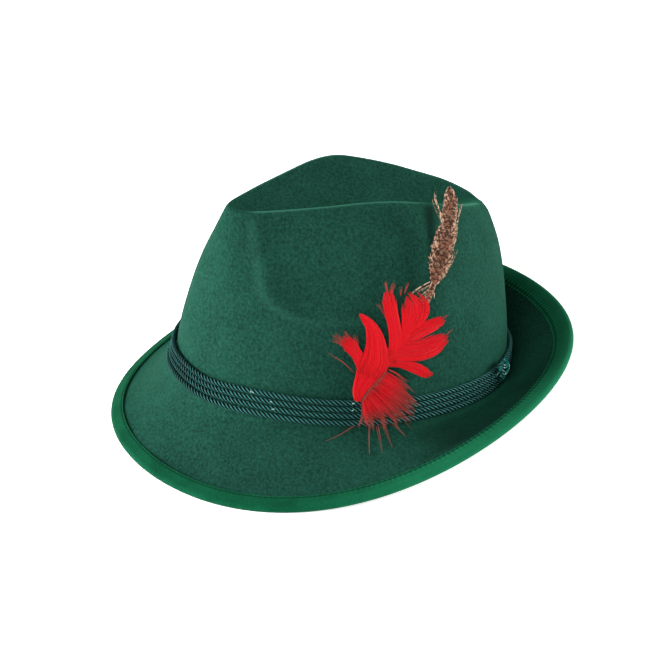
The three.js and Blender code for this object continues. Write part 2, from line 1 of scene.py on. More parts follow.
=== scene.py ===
"""Green felt tyrolean hat with a bound brim, four twisted hat cords, a knot and two feathers.

Shapes are worked out in millimetres in the head frame, whose plane z = 0 is the head line, and are then laid down on
the ground as the hat rests by itself. The hat's front points along -Y and the wearer's left along +X.
"""

import logging
import math
from dataclasses import dataclass, field
from enum import Enum
from functools import partialmethod

import bmesh
import bpy
import numpy as np
from mathutils import Matrix, Vector


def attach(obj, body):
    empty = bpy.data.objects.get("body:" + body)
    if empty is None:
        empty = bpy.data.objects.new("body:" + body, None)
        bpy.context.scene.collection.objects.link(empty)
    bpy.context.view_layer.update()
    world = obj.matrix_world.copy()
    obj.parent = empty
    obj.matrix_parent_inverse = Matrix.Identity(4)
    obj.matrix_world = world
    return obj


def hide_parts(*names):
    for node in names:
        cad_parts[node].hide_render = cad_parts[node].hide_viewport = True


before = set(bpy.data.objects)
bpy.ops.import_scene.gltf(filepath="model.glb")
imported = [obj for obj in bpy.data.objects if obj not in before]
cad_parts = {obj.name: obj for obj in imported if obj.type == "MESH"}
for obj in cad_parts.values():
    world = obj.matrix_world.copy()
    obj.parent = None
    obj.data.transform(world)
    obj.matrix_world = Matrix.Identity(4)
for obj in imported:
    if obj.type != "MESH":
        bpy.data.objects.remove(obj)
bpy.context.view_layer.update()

BODY = "root"
MM = 0.001
SEED = 1873

log = logging.getLogger("hat")

Vec3 = tuple[float, float, float]
UP = np.array([0.0, 0.0, 1.0])
SHORTEST = 1e-9
WELD = 1e-6


def unit(vectors: np.ndarray) -> np.ndarray:
    """Gives vectors of length one.

    Args:
        vectors: Vectors along the last axis.

    Returns:
        The same directions at length one; upwards where a vector has no length.
    """
    length = np.linalg.norm(vectors, axis=-1, keepdims=True)
    return np.where(length > SHORTEST, vectors / np.maximum(length, SHORTEST), UP)


def off_front(angle: np.ndarray) -> np.ndarray:
    """Gives how many degrees an angle round the hat is from the front, on either side."""
    return np.where(angle > 180, 360 - angle, angle)


def to_back(angle: np.ndarray) -> np.ndarray:
    """Gives a share that rises softly from 0 at the front to 1 at the back."""
    return np.clip((1 - np.cos(np.radians(angle))) / 2, 0, 1) ** 1.5


def hill(place: np.ndarray, middle: float | np.ndarray, width: float | np.ndarray) -> np.ndarray:
    """Gives a soft hill that is 1 at its middle and 0.37 one width away from it."""
    return np.exp(-(((place - middle) / width) ** 2))


def run_round(loop: np.ndarray) -> np.ndarray:
    """Gives the length along a closed loop at each of its points and, last, at its end."""
    return np.concatenate([[0], np.cumsum(np.linalg.norm(np.roll(loop, -1, 0) - loop, axis=1))])


def sight(azimuth: float, elevation: float) -> Vector:
    """Gives the direction at degrees round the hat from its front and degrees above the ground."""
    a, e = math.radians(azimuth), math.radians(elevation)
    return Vector((math.sin(a) * math.cos(e), -math.cos(a) * math.cos(e), math.sin(e)))


def hermite(
    here: np.ndarray, after: np.ndarray, slope_in: np.ndarray, slope_out: np.ndarray, t: np.ndarray
) -> np.ndarray:
    """Gives points at shares t of a smooth curve between two points with their slopes."""
    return (
        here * (1 + 2 * t) * (1 - t) ** 2
        + slope_in * t * (1 - t) ** 2
        + after * t * t * (3 - 2 * t)
        + slope_out * t * t * (t - 1)
    )


def catmull(points: np.ndarray, at: np.ndarray, closed: bool = False) -> np.ndarray:
    """Follows a smooth curve through points.

    Args:
        points: Rows that the curve passes through, at 0, 1, 2 and so on.
        at: Places along the curve, in rows.
        closed: Whether the last row is followed by the first one.

    Returns:
        One row for each place.
    """
    count = len(points)
    base = np.floor(at).astype(int)
    if closed:
        rows = [points[(base + step) % count] for step in (-1, 0, 1, 2)]
    else:
        base = np.clip(base, 0, count - 2)
        rows = [points[np.clip(base + step, 0, count - 1)] for step in (-1, 0, 1, 2)]
    t = (at - base)[:, None]
    before, here, after, beyond = rows
    slope_in, slope_out = (after - before) / 2, (beyond - here) / 2
    return hermite(here, after, slope_in, slope_out, t)


def follow_round(turn: np.ndarray, angle: np.ndarray) -> np.ndarray:
    """Follows a smooth curve through a table's rows that repeats every full turn.

    Args:
        turn: Rows whose first column is the angle, from 0 to 360 degrees.
        angle: Degrees round the hat.

    Returns:
        The table's columns at each angle.
    """
    whole = np.zeros((1, turn.shape[1]))
    whole[0, 0] = 360
    table = np.vstack([turn[-2:-1] - whole, turn, turn[1:2] + whole])
    turned = np.mod(angle, 360.0)
    row = np.clip(np.searchsorted(table[:, 0], turned, side="right") - 1, 1, len(table) - 3)
    before, here, after, beyond = (table[row + step] for step in (-1, 0, 1, 2))
    span = after[..., :1] - here[..., :1]
    t = (turned[..., None] - here[..., :1]) / span
    slope_in = (after - before) / (after[..., :1] - before[..., :1]) * span
    slope_out = (beyond - here) / (beyond[..., :1] - here[..., :1]) * span
    return hermite(here, after, slope_in, slope_out, t)


@dataclass(frozen=True)
class HatForm:
    """Sizes of the felt and the formulas of its outer face, in millimetres and degrees, in the head frame."""

    head_length: float = 200.6
    head_width: float = 166.0
    wall: float = 2.0
    crown_height: float = 114.7
    top_length: float = 161.1
    top_width: float = 77.6
    dent_depth: float = 24.0
    dent_power: float = 1.7
    dent_hollow: float = 1.5
    pinch_depth: float = 6.5
    pinch_floor: float = 57.9
    pinch_front: float = 29.0
    pinch_slant: float = 28.0
    pinch_corner: float = 18.0
    pinch_corner_share: float = 0.12
    pinch_back: float = 105.0
    front_width: float = 36.5
    side_width: float = 44.3
    back_width: float = 34.9
    front_drop: float = 39.4
    side_drop: float = 6.3
    back_rise: float = 30.8
    quarter_dip: float = 6.3
    front_corner: float = 8.0
    back_corner: float = 4.0
    edge_corner: float = 3.5
    tape: float = 1.0
    clearance: float = 0.3
    draw_front: float = 1.74
    draw_side: float = 1.94
    draw_back: float = 1.88
    draw_top_share: float = 0.12
    draw_top: float = 8.0
    root_front: float = 1.6
    root_back: float = 0.6
    root_edge: float = 0.38
    rest_tilt: float = 10.7308
    rest_shift: Vec3 = (0.0, 1.1415, 19.2418)
    edge_table: tuple[tuple[float, float, float, float], ...] = (
        (0, -1, 0, 0.881), (8, -0.989, 0.098, 0.886), (15, -0.961, 0.178, 0.892), (22, -0.917, 0.248, 0.898),
        (30, -0.825, 0.349, 0.907), (45, -0.62, 0.554, 0.933), (60, -0.41, 0.742, 0.962),
        (75, -0.187, 0.912, 0.992), (90, 0.025, 0.998, 1), (105, 0.236, 0.987, 0.979), (120, 0.447, 0.897, 0.948),
        (135, 0.645, 0.732, 0.915), (150, 0.82, 0.528, 0.886), (165, 0.962, 0.296, 0.852), (180, 1, 0, 0.822),
    )

    def full_edge(self) -> np.ndarray:
        """Gives the upper edge's table for a whole turn."""
        left = np.array(self.edge_table)
        right = left[1:-1][::-1] * np.array([-1, 1, -1, 1]) + np.array([360, 0, 0, 0])
        return np.vstack([left, right, left[:1] + np.array([[360, 0, 0, 0]])])

    def crown_edge(self, angle: np.ndarray) -> np.ndarray:
        """Gives the crown's upper edge.

        Args:
            angle: Degrees round the hat from its front.

        Returns:
            Points, one for each angle.
        """
        value = follow_round(self.full_edge(), angle)
        return np.stack(
            [
                value[..., 2] * self.top_width / 2,
                value[..., 1] * self.top_length / 2,
                value[..., 3] * self.crown_height,
            ],
            -1,
        )

    @property
    def head_half(self) -> tuple[float, float]:
        """Half the width and half the length of the head line's outside."""
        return self.head_width / 2 + self.wall, self.head_length / 2 + self.wall

    def head_line(self, angle: np.ndarray) -> np.ndarray:
        """Gives the outside of the head line at some angles."""
        turn = np.radians(angle)
        half_width, half_length = self.head_half
        return np.stack([half_width * np.sin(turn), -half_length * np.cos(turn), 0 * turn], -1)

    def outward(self, angle: np.ndarray) -> np.ndarray:
        """Gives the level directions that point straight out of the head line."""
        turn = np.radians(angle)
        half_width, half_length = self.head_half
        return unit(np.stack([np.sin(turn) / half_width, -np.cos(turn) / half_length, 0 * turn], -1))

    def pinch_inside(self, angle: np.ndarray, share: np.ndarray) -> np.ndarray:
        """Gives how far inside the pinch's front and lower edge a place is: 0 on the edge, below 0 outside it."""
        side = off_front(angle)
        front_edge = self.pinch_front + self.pinch_slant * (1 - share)
        from_front = np.minimum((side - front_edge) / self.pinch_corner, 1)
        from_floor = np.minimum((share - self.pinch_floor / self.crown_height) / self.pinch_corner_share, 1)
        return 1 - np.hypot(1 - from_front, 1 - from_floor)

    def pinch(self, angle: np.ndarray, share: np.ndarray) -> np.ndarray:
        """Gives how deep the pinch is.

        Args:
            angle: Degrees round the hat.
            share: Shares of the crown's height.

        Returns:
            Depths in millimetres.
        """
        side = off_front(angle)
        floor = self.pinch_floor / self.crown_height
        front_edge = self.pinch_front + self.pinch_slant * (1 - share)
        inside = np.clip(self.pinch_inside(angle, share), 0, 1)
        fading = (self.pinch_back - side) / (self.pinch_back - front_edge - self.pinch_corner)
        to_top = np.maximum(1 - ((share - floor) / (1 - floor)) ** 2, 0)
        quarter = math.pi / 2
        soft_back = np.sin(quarter * np.clip(fading, 0, 1))
        return self.pinch_depth * np.sin(quarter * inside) * soft_back * to_top

    def wall_point(self, angle: np.ndarray, share: np.ndarray) -> np.ndarray:
        """Gives the outer face of the crown's wall.

        Args:
            angle: Degrees round the hat.
            share: Shares of the height of the upper edge.

        Returns:
            Points, one for each pair.
        """
        cosine = np.cos(np.radians(angle))
        front = np.maximum(cosine, 0) ** 2
        back = np.maximum(-cosine, 0) ** 2
        side_draw = (1 - self.draw_top_share) * share**self.draw_side
        side_draw = side_draw + self.draw_top_share * share**self.draw_top
        draw = front * share**self.draw_front + (1 - front - back) * side_draw
        draw = draw + back * share**self.draw_back
        edge = self.crown_edge(angle)
        head = self.head_line(angle)
        point = head + (edge - head) * draw[..., None]
        point = point - self.outward(angle) * self.pinch(angle, share)[..., None]
        point[..., 2] = edge[..., 2] * share
        return point

    def corner(self, angle: np.ndarray) -> np.ndarray:
        """Gives the size of the rounded corner between the crown and the brim."""
        middle = (self.front_corner + self.back_corner) / 2
        return middle + (self.front_corner - self.back_corner) / 2 * np.cos(np.radians(angle))

    def corner_curve(self, angle: np.ndarray, share: float) -> np.ndarray:
        """Gives the rounded corner at a share of the way from the brim to the crown's wall."""
        corner = self.corner(angle)
        brim_side = self.brim_point(angle, corner / self.reach(angle))
        wall_side = self.wall_point(angle, corner / self.crown_edge(angle)[..., 2])
        return quadratic(brim_side, self.head_line(angle), wall_side, np.full_like(angle, share))

    def reach(self, angle: np.ndarray) -> np.ndarray:
        """Gives the brim's width on the level."""
        cosine = np.cos(np.radians(angle))
        even = self.front_width * (1 + cosine) / 2 + self.back_width * (1 - cosine) / 2
        extra = self.side_width - (self.front_width + self.back_width) / 2
        return even + extra * (1 - cosine * cosine)

    def lift(self, angle: np.ndarray) -> np.ndarray:
        """Gives the height of the brim's edge over the head line."""
        cosine = np.cos(np.radians(angle))
        middle = ((self.back_rise - self.front_drop) / 2 - self.side_drop) / 2
        swing = ((self.back_rise - self.front_drop) / 2 + self.side_drop) / 2
        peak = 2 / (3 * math.sqrt(3))
        dip = self.quarter_dip * (1 - cosine * cosine) * cosine / peak
        turn = cosine * (self.back_rise + self.front_drop) / 2
        return middle - turn + swing * (2 * cosine * cosine - 1) - dip

    def brim_point(self, angle: np.ndarray, share: np.ndarray) -> np.ndarray:
        """Gives the upper face of the brim.

        Args:
            angle: Degrees round the hat.
            share: Shares of the way from the head line to the finished edge.

        Returns:
            Points, one for each pair.
        """
        cosine = np.cos(np.radians(angle))
        root = self.root_front * (1 + cosine) / 2 + self.root_back * (1 - cosine) / 2
        bend = root * share * (1 - share) ** 2 + share * share * (3 - 2 * share)
        bend = bend + self.root_edge * share * share * (share - 1)
        point = self.head_line(angle) + self.outward(angle) * (self.reach(angle) * share)[..., None]
        point[..., 2] = self.lift(angle) * bend
        return point

    def top_point(self, angle: np.ndarray, share: np.ndarray) -> np.ndarray:
        """Gives the dented top, from the upper edge (share 1) to the middle line (share 0)."""
        point = self.crown_edge(angle)
        depth = self.dent_depth * np.abs(np.sin(np.radians(angle))) ** self.dent_power
        point[..., 2] -= depth * (1 - share**self.dent_hollow)
        point[..., 0] *= share
        return point

    def brim_normal(self, angle: np.ndarray, share: np.ndarray) -> np.ndarray:
        """Gives the directions that stand on the brim's upper face."""
        step = 0.01
        along = self.brim_point(angle + step, share) - self.brim_point(angle - step, share)
        across = self.brim_point(angle, share + step) - self.brim_point(angle, share - step)
        return unit(np.cross(across, along))

    def band_surface(self, angle: np.ndarray, height: np.ndarray) -> np.ndarray:
        """Gives the felt's outer face at heights on the crown's wall or on the corner below it."""
        corner = self.corner(angle)
        edge = self.crown_edge(angle)[..., 2]
        brim_side = self.brim_point(angle, corner / self.reach(angle))
        wall_side = self.wall_point(angle, corner / edge)
        head = self.head_line(angle)
        drop = brim_side[..., 2] - 2 * head[..., 2] + wall_side[..., 2]
        a = np.where(np.abs(drop) < 1e-6, 1e-6, drop)
        b = 2 * (head[..., 2] - brim_side[..., 2])
        c = brim_side[..., 2] - height
        t = np.clip((-b + np.sqrt(np.maximum(b * b - 4 * a * c, 0))) / (2 * a), 0, 1)
        low = quadratic(brim_side, head, wall_side, t)
        high = self.wall_point(angle, height / edge)
        return np.where((height >= corner)[..., None], high, low)

    def to_rest(self, points: np.ndarray) -> np.ndarray:
        """Lays points of the head frame down as the hat rests, with the cloth pressed flat on the ground.

        Args:
            points: Points in millimetres in the head frame.

        Returns:
            Points in metres in the row frame.
        """
        turned = self.turn(points) + np.array(self.rest_shift)
        turned[..., 2] = np.maximum(turned[..., 2], 0)
        return turned * MM

    def turn(self, vectors: np.ndarray) -> np.ndarray:
        """Turns directions of the head frame into the row frame."""
        tilt = math.radians(self.rest_tilt)
        c, s = math.cos(tilt), math.sin(tilt)
        x, y, z = vectors[..., 0], vectors[..., 1], vectors[..., 2]
        return np.stack([x, c * y + s * z, -s * y + c * z], -1)


def quadratic(start: np.ndarray, middle: np.ndarray, end: np.ndarray, t: np.ndarray) -> np.ndarray:
    """Gives points of the curve from start to end that middle pulls at."""
    t = np.asarray(t)[..., None]
    return start * (1 - t) ** 2 + middle * 2 * t * (1 - t) + end * t * t


FORM = HatForm()


@dataclass
class MeshStock:
    """Vertices, faces of four and values per vertex that become one mesh."""

    name: str
    points: list[np.ndarray] = field(default_factory=list)
    quads: list[np.ndarray] = field(default_factory=list)
    values: dict[str, list[np.ndarray]] = field(default_factory=dict)
    count: int = 0

    def add(self, points: np.ndarray, quads: np.ndarray, **values: np.ndarray | float) -> None:
        """Adds a part of the mesh.

        Args:
            points: Vertices in metres.
            quads: Faces of four, as places in points.
            values: Numbers per vertex, by name.
        """
        self.quads.append(quads + self.count)
        for key, value in values.items():
            self.values.setdefault(key, []).append(np.broadcast_to(value, (len(points),)))
        self.points.append(points)
        self.count += len(points)

    def build(self, weld: float = 0.0) -> bpy.types.Object:
        """Makes the Blender object.

        Args:
            weld: Distance in metres at which vertices are joined, or 0.

        Returns:
            The object, smooth shaded, linked to the scene.
        """
        points, quads = np.vstack(self.points), np.vstack(self.quads)
        mesh = bpy.data.meshes.new(self.name)
        mesh.vertices.add(len(points))
        mesh.vertices.foreach_set("co", points.astype(np.float32).ravel())
        mesh.loops.add(quads.size)
        mesh.loops.foreach_set("vertex_index", quads.ravel().astype(np.int32))
        mesh.polygons.add(len(quads))
        mesh.polygons.foreach_set("loop_start", np.arange(0, quads.size, 4, dtype=np.int32))
        for key, value in self.values.items():
            layer = mesh.attributes.new(key, "FLOAT", "POINT")
            layer.data.foreach_set("value", np.concatenate(value).astype(np.float32))
        mesh.update(calc_edges=True)
        mesh.validate()
        if weld:
            work = bmesh.new()
            work.from_mesh(mesh)
            bmesh.ops.remove_doubles(work, verts=work.verts, dist=weld)
            work.to_mesh(mesh)
            work.free()
        mesh.shade_smooth()
        made = bpy.data.objects.new(self.name, mesh)
        bpy.context.scene.collection.objects.link(made)
        return made


def grid_quads(rows: int, columns: int, closed: bool, flip: bool = False) -> np.ndarray:
    """Gives the faces of a grid of vertices.

    Args:
        rows: Rows of vertices.
        columns: Vertices in a row.
        closed: Whether each row closes on itself.
        flip: Whether the faces are turned over.

    Returns:
        Faces of four.
    """
    span = columns if closed else columns - 1
    row, column = np.meshgrid(np.arange(rows - 1), np.arange(span), indexing="ij")
    after = (column + 1) % columns
    a, b = row * columns + column, row * columns + after
    d, c = a + columns, b + columns
    faces = np.stack([a, b, c, d], -1).reshape(-1, 4)
    return faces[:, ::-1] if flip else faces


def tube(
    path: np.ndarray, radius: np.ndarray, sides: int, closed: bool, face: np.ndarray = UP
) -> tuple[np.ndarray, np.ndarray, np.ndarray]:
    """Makes a tube along a path.

    Args:
        path: Points of the path.
        radius: Radius at each point.
        sides: Sides of the tube.
        closed: Whether the path closes on itself.
        face: Direction from which the turn is counted.

    Returns:
        Vertices, faces of four, and each vertex's share of a turn round the tube.
    """
    if closed:
        run = unit(np.roll(path, -1, 0) - np.roll(path, 1, 0))
    else:
        run = unit(np.gradient(path, axis=0))
    side = unit(np.cross(run, face))
    over = unit(np.cross(side, run))
    turn = np.arange(sides) / sides
    ring = np.cos(2 * np.pi * turn)[None, :, None] * side[:, None]
    ring = ring + np.sin(2 * np.pi * turn)[None, :, None] * over[:, None]
    points = (path[:, None] + ring * np.broadcast_to(radius, (len(path),))[:, None, None]).reshape(-1, 3)
    quads = grid_quads(len(path), sides, True)
    if closed:
        last, first = (len(path) - 1) * sides + np.arange(sides), np.arange(sides)
        quads = np.vstack([quads, np.stack([last, np.roll(last, -1), np.roll(first, -1), first], -1)])
    return points, quads, np.tile(turn, len(path))


def ribbons(paths: np.ndarray, width: np.ndarray, face: np.ndarray, thick: float) -> tuple[np.ndarray, np.ndarray]:
    """Makes many thin closed three-sided strips at once.

    Args:
        paths: Points, as strip by place by axis.
        width: Width of each strip at each place.
        face: Direction each strip's ridge faces, as strip by place by axis.
        thick: Height of the ridge as a share of the width.

    Returns:
        Vertices and faces of four.
    """
    strips, places = paths.shape[:2]
    run = unit(np.gradient(paths, axis=1))
    side = unit(np.cross(run, face)) * width[..., None] / 2
    rise = unit(np.cross(side, run)) * (width * thick)[..., None]
    ring = np.stack([paths - side, paths + side, paths + rise], 2)
    one = grid_quads(places, 3, True, flip=True)
    offsets = (np.arange(strips) * places * 3)[:, None, None]
    return ring.reshape(-1, 3), (one[None] + offsets).reshape(-1, 4)


class Value:
    """A socket whose arithmetic adds Math nodes to its bench."""

    def __init__(self, bench: "Bench", socket: bpy.types.NodeSocket) -> None:
        """Keeps the bench and the socket."""
        self.bench = bench
        self.socket = socket

    def math(self, operation: str, *others: "Value | float", swapped: bool = False) -> "Value":
        """Adds one Math node.

        Args:
            operation: The node's operation.
            others: Its other values.
            swapped: Whether this value comes last.

        Returns:
            The result.
        """
        values = [*others, self] if swapped else [self, *others]
        return self.bench.add("ShaderNodeMath", {"operation": operation}, dict(enumerate(values)))

    __add__ = partialmethod(math, "ADD")
    __sub__ = partialmethod(math, "SUBTRACT")
    __rsub__ = partialmethod(math, "SUBTRACT", swapped=True)
    __mul__ = partialmethod(math, "MULTIPLY")
    __pow__ = partialmethod(math, "POWER")

    def between(self, low: float, high: float) -> "Value":
        """Gives 0 below low, 1 above high and a soft rise between."""
        names = {"Value": self, "From Min": low, "From Max": high}
        return self.bench.add("ShaderNodeMapRange", {"interpolation_type": "SMOOTHSTEP"}, names)


class Bench:
    """The node tree of one material."""

    def __init__(self, name: str) -> None:
        """Starts an empty material."""
        self.material = bpy.data.materials.new(name)
        self.material.use_nodes = True
        self.tree = self.material.node_tree
        self.tree.nodes.clear()

    def add(
        self,
        kind: str,
        settings: dict[str, object] | None = None,
        values: dict[int | str, object] | None = None,
        output: int | str = 0,
    ) -> Value:
        """Adds a node.

        Args:
            kind: The node's type.
            settings: Its settings, which are set first; "stops" holds a ramp's places and colours.
            values: Numbers, colours or links of its sockets, by name or place.
            output: The socket that is given back.

        Returns:
            The output socket.
        """
        node = self.tree.nodes.new(kind)
        for key, value in (settings or {}).items():
            if key == "stops":
                self.set_stops(node.color_ramp, value)
            else:
                setattr(node, key, value)
        for key, value in (values or {}).items():
            if isinstance(value, Value):
                self.tree.links.new(value.socket, node.inputs[key])
            else:
                node.inputs[key].default_value = value
        return Value(self, node.outputs[output] if node.outputs else None)

    @staticmethod
    def set_stops(ramp: bpy.types.ColorRamp, stops: list[tuple[float, tuple]]) -> None:
        """Sets a ramp's places and colours."""
        while len(ramp.elements) < len(stops):
            ramp.elements.new(1.0)
        for element, (place, colour) in zip(ramp.elements, stops):
            element.position = place
            element.color = colour

    def place(self) -> Value:
        """Gives the place on the object in metres."""
        return self.add("ShaderNodeTexCoord", output="Object")

    def number(self, name: str) -> Value:
        """Gives a number that the mesh holds per vertex."""
        return self.add("ShaderNodeAttribute", {"attribute_name": name}, output="Fac")

    def noise(self, scale: float, detail: float = 2.0, rough: float = 0.5, at: Value | None = None) -> Value:
        """Gives noise.

        Args:
            scale: Lumps per metre.
            detail: Finer layers.
            rough: Strength of the finer layers.
            at: Where it is read, or the place on the object.

        Returns:
            Numbers round one half.
        """
        values = {"Vector": at or self.place(), "Scale": scale, "Detail": detail, "Roughness": rough}
        return self.add("ShaderNodeTexNoise", {}, values, "Fac")

    def mix(self, low: object, high: object, share: Value | float, blend: str = "MIX") -> Value:
        """Mixes two colours.

        Args:
            low: Colour or link at share 0.
            high: Colour or link at share 1.
            share: How much of high.
            blend: How the colours mix.

        Returns:
            The mixed colour.
        """
        settings = {"data_type": "RGBA", "blend_type": blend}
        return self.add("ShaderNodeMix", settings, {0: share, 6: low, 7: high}, 2)

    def bump(self, height: Value, distance: float, strength: float) -> Value:
        """Adds relief.

        Args:
            height: Height of the relief.
            distance: Metres that one unit of height stands for.
            strength: Strength of the effect.

        Returns:
            The normal.
        """
        return self.add("ShaderNodeBump", {}, {"Height": height, "Distance": distance, "Strength": strength})

    def finish(self, **sockets: object) -> bpy.types.Material:
        """Ends in a Principled surface.

        Args:
            sockets: Numbers or links of its sockets, with an underscore for each space.

        Returns:
            The material.
        """
        names = {key.replace("_", " "): value for key, value in sockets.items()}
        shader = self.add("ShaderNodeBsdfPrincipled", {}, names)
        self.add("ShaderNodeOutputMaterial", {}, {"Surface": shader})
        return self.material


def srgb(red: float, green: float, blue: float) -> tuple[float, float, float, float]:
    """Turns a colour as a screen shows it, 0 to 255, into a linear one."""
    parts = [channel / 255 for channel in (red, green, blue)]
    linear = [part / 12.92 if part <= 0.04045 else ((part + 0.055) / 1.055) ** 2.4 for part in parts]
    return (*linear, 1.0)


@dataclass(frozen=True)
class FeltFinish:
    """Moulded felt: a matt ground with a grain of short fibres and a soft sheen, with painted highlights and painted
    shade mixed in from a number per vertex.
    """

    dark: Vec3 = (6, 32, 25)
    light: Vec3 = (23, 65, 53)
    # Colour of the painted highlights.
    painted_light: Vec3 = (62, 118, 98)
    # Colour of the painted shade.
    shade: Vec3 = (1, 10, 8)
    grain: float = 620.0
    fibre: float = 1700.0
    cloud: float = 60.0
    sheen: float = 0.12
    sheen_tint: Vec3 = (60, 190, 145)
    weights: Vec3 = (1.5, 0.6, 0.3)

    def make(self) -> bpy.types.Material:
        """Makes the material."""
        bench = Bench("green_felt")
        grain = bench.noise(self.grain, 3.0, 0.65)
        fibre = bench.noise(self.fibre, 2.0, 0.6)
        cloud = bench.noise(self.cloud, 2.0, 0.5)
        of_grain, of_fibre, of_cloud = self.weights
        tone = (grain - 0.5) * of_grain + (fibre - 0.5) * of_fibre + (cloud - 0.5) * of_cloud + 0.5
        colour = bench.mix(srgb(*self.dark), srgb(*self.light), tone.between(0.0, 1.0))
        # Painted light and shade: above 0 the number mixes towards the highlight colour, below 0 towards the shade
        # colour.
        painted_light = bench.number("felt_painted_light")
        colour = bench.mix(colour, srgb(*self.painted_light), painted_light.between(0.0, 1.0))
        colour = bench.mix(colour, srgb(*self.shade), (0.0 - painted_light).between(0.0, 1.0))
        relief = bench.bump(grain * 0.7 + fibre * 0.3, 0.0011, 0.6)
        return bench.finish(
            Base_Color=colour,
            Roughness=0.95,
            Normal=relief,
            Specular_IOR_Level=0.05,
            Sheen_Weight=self.sheen,
            Sheen_Roughness=0.5,
            Sheen_Tint=srgb(*self.sheen_tint),
        )


@dataclass(frozen=True)
class TapeFinish:
    """Felt tape of the binding, brighter and smoother than the felt, with painted light and shade, and some wear,
    mixed in from a number per vertex.
    """

    dark: Vec3 = (0, 50, 31)
    light: Vec3 = (6, 70, 45)
    # Painted shade colour, for tape numbers below 0.
    shaded: Vec3 = (0, 16, 9)
    # Colour for tape numbers above 0: painted light, and wear on the rolled inner edge.
    lit_and_worn: Vec3 = (26, 112, 76)
    sheen_tint: Vec3 = (90, 200, 150)
    grain: float = 1100.0
    cloud: float = 70.0

    def make(self) -> bpy.types.Material:
        """Makes the material."""
        bench = Bench("binding_felt")
        grain = bench.noise(self.grain, 3.0, 0.6)
        cloud = bench.noise(self.cloud, 2.0)
        colour = bench.mix(srgb(*self.dark), srgb(*self.light), ((grain - 0.5) * 1.2 + cloud).between(0.1, 0.9))
        # Painted light and shade, with some wear: below 0 towards the shaded colour, above 0 towards the lighter one.
        fold = bench.number("tape_shading_and_wear")
        colour = bench.mix(colour, srgb(*self.shaded), (0.0 - fold).between(0.0, 1.1))
        colour = bench.mix(colour, srgb(*self.lit_and_worn), fold.between(0.0, 1.6))
        relief = bench.bump(grain, 0.0006, 0.5)
        return bench.finish(
            Base_Color=colour,
            Roughness=0.9,
            Normal=relief,
            Specular_IOR_Level=0.05,
            Sheen_Weight=0.1,
            Sheen_Roughness=0.5,
            Sheen_Tint=srgb(*self.sheen_tint),
        )


@dataclass(frozen=True)
class ThreadFinish:
    """Twisted thread with a silky shine, darker towards the grooves between strands as painted shade."""

    name: str = "cord_thread"
    dark: Vec3 = (0, 10, 10)
    light: Vec3 = (56, 112, 107)
    rough: float = 0.6
    plies: float = 5.0
    gloss: float = 0.04

    def make(self) -> bpy.types.Material:
        """Makes the material."""
        bench = Bench(self.name)
        turn = bench.number("thread_turn")
        # Painted shade: the colour darkens from each strand's outermost crest towards the grooves between strands; a
        # crest number of 0.86 or less gives the dark colour alone.
        crest = bench.number("thread_crest").between(0.86, 1.0) ** 1.8
        ply = (turn * (self.plies * 2 * math.pi)).math("SINE") * 0.5 + 0.5
        stray = bench.noise(2200.0, 2.0)
        tone = (ply * 0.25 + stray * 0.5 + 0.6) * crest
        colour = bench.mix(srgb(*self.dark), srgb(*self.light), tone)
        relief = bench.bump(ply * 0.8 + stray * 0.4, 0.00014, 0.7)
        return bench.finish(
            Base_Color=colour,
            Roughness=self.rough,
            Normal=relief,
            Specular_IOR_Level=self.gloss,
        )


@dataclass(frozen=True)
class BarbFinish:
    """Dyed barbs, darker at the root and paler and duller in the thin ends."""

    name: str
    root: Vec3
    body: Vec3
    tip: Vec3
    stray: Vec3

    def make(self) -> bpy.types.Material:
        """Makes the material."""
        bench = Bench(self.name)
        run = bench.number("barb_run")
        tone = bench.number("barb_tone")
        down = bench.number("barb_down")
        near = bench.mix(srgb(*self.root), srgb(*self.body), run.between(0.0, 0.3))
        colour = bench.mix(near, srgb(*self.tip), run.between(0.85, 1.0) * 0.5)
        colour = bench.mix(colour, srgb(*self.stray), down)
        shade = tone * 0.22 + bench.noise(900.0, 2.0) * 0.2 + 0.72
        grey = bench.add("ShaderNodeCombineColor", {}, {0: shade, 1: shade, 2: shade})
        colour = bench.mix(colour, grey, 1.0, "MULTIPLY")
        return bench.finish(
            Base_Color=colour, Roughness=0.75, Specular_IOR_Level=0.06, Sheen_Weight=0.03, Sheen_Roughness=0.4
        )


@dataclass(frozen=True)
class MottleFinish:
    """Brown feather with wavy dark bars on tan."""

    tan: Vec3 = (112, 72, 54)
    pale: Vec3 = (196, 164, 138)
    dark: Vec3 = (22, 9, 4)

    def make(self) -> bpy.types.Material:
        """Makes the material."""
        bench = Bench("mottled_barbs")
        along = bench.number("vane_along")
        across = bench.number("vane_across")
        tone = bench.number("barb_tone")
        run = bench.number("barb_run")
        wobble = bench.noise(330.0, 2.0)
        bars = ((along * 0.9 + wobble * 9.0 + across * across * 1.6) * 1.9).math("SINE") * 0.5 + 0.5
        vein = (bench.noise(360.0, 1.0) - 0.5).math("ABSOLUTE").between(0.01, 0.07)
        blots = bench.noise(800.0, 2.0, 0.6)
        dark = (bars * 0.6 + (1.0 - vein) * 0.5 + blots * 0.4).between(0.5, 0.85)
        ground = bench.mix(srgb(*self.tan), srgb(*self.pale), (tone * 0.7 + run * 0.5).between(0.5, 1.15))
        colour = bench.mix(ground, srgb(*self.dark), dark * 0.85)
        return bench.finish(
            Base_Color=colour, Roughness=0.75, Specular_IOR_Level=0.08, Sheen_Weight=0.03, Sheen_Roughness=0.4
        )


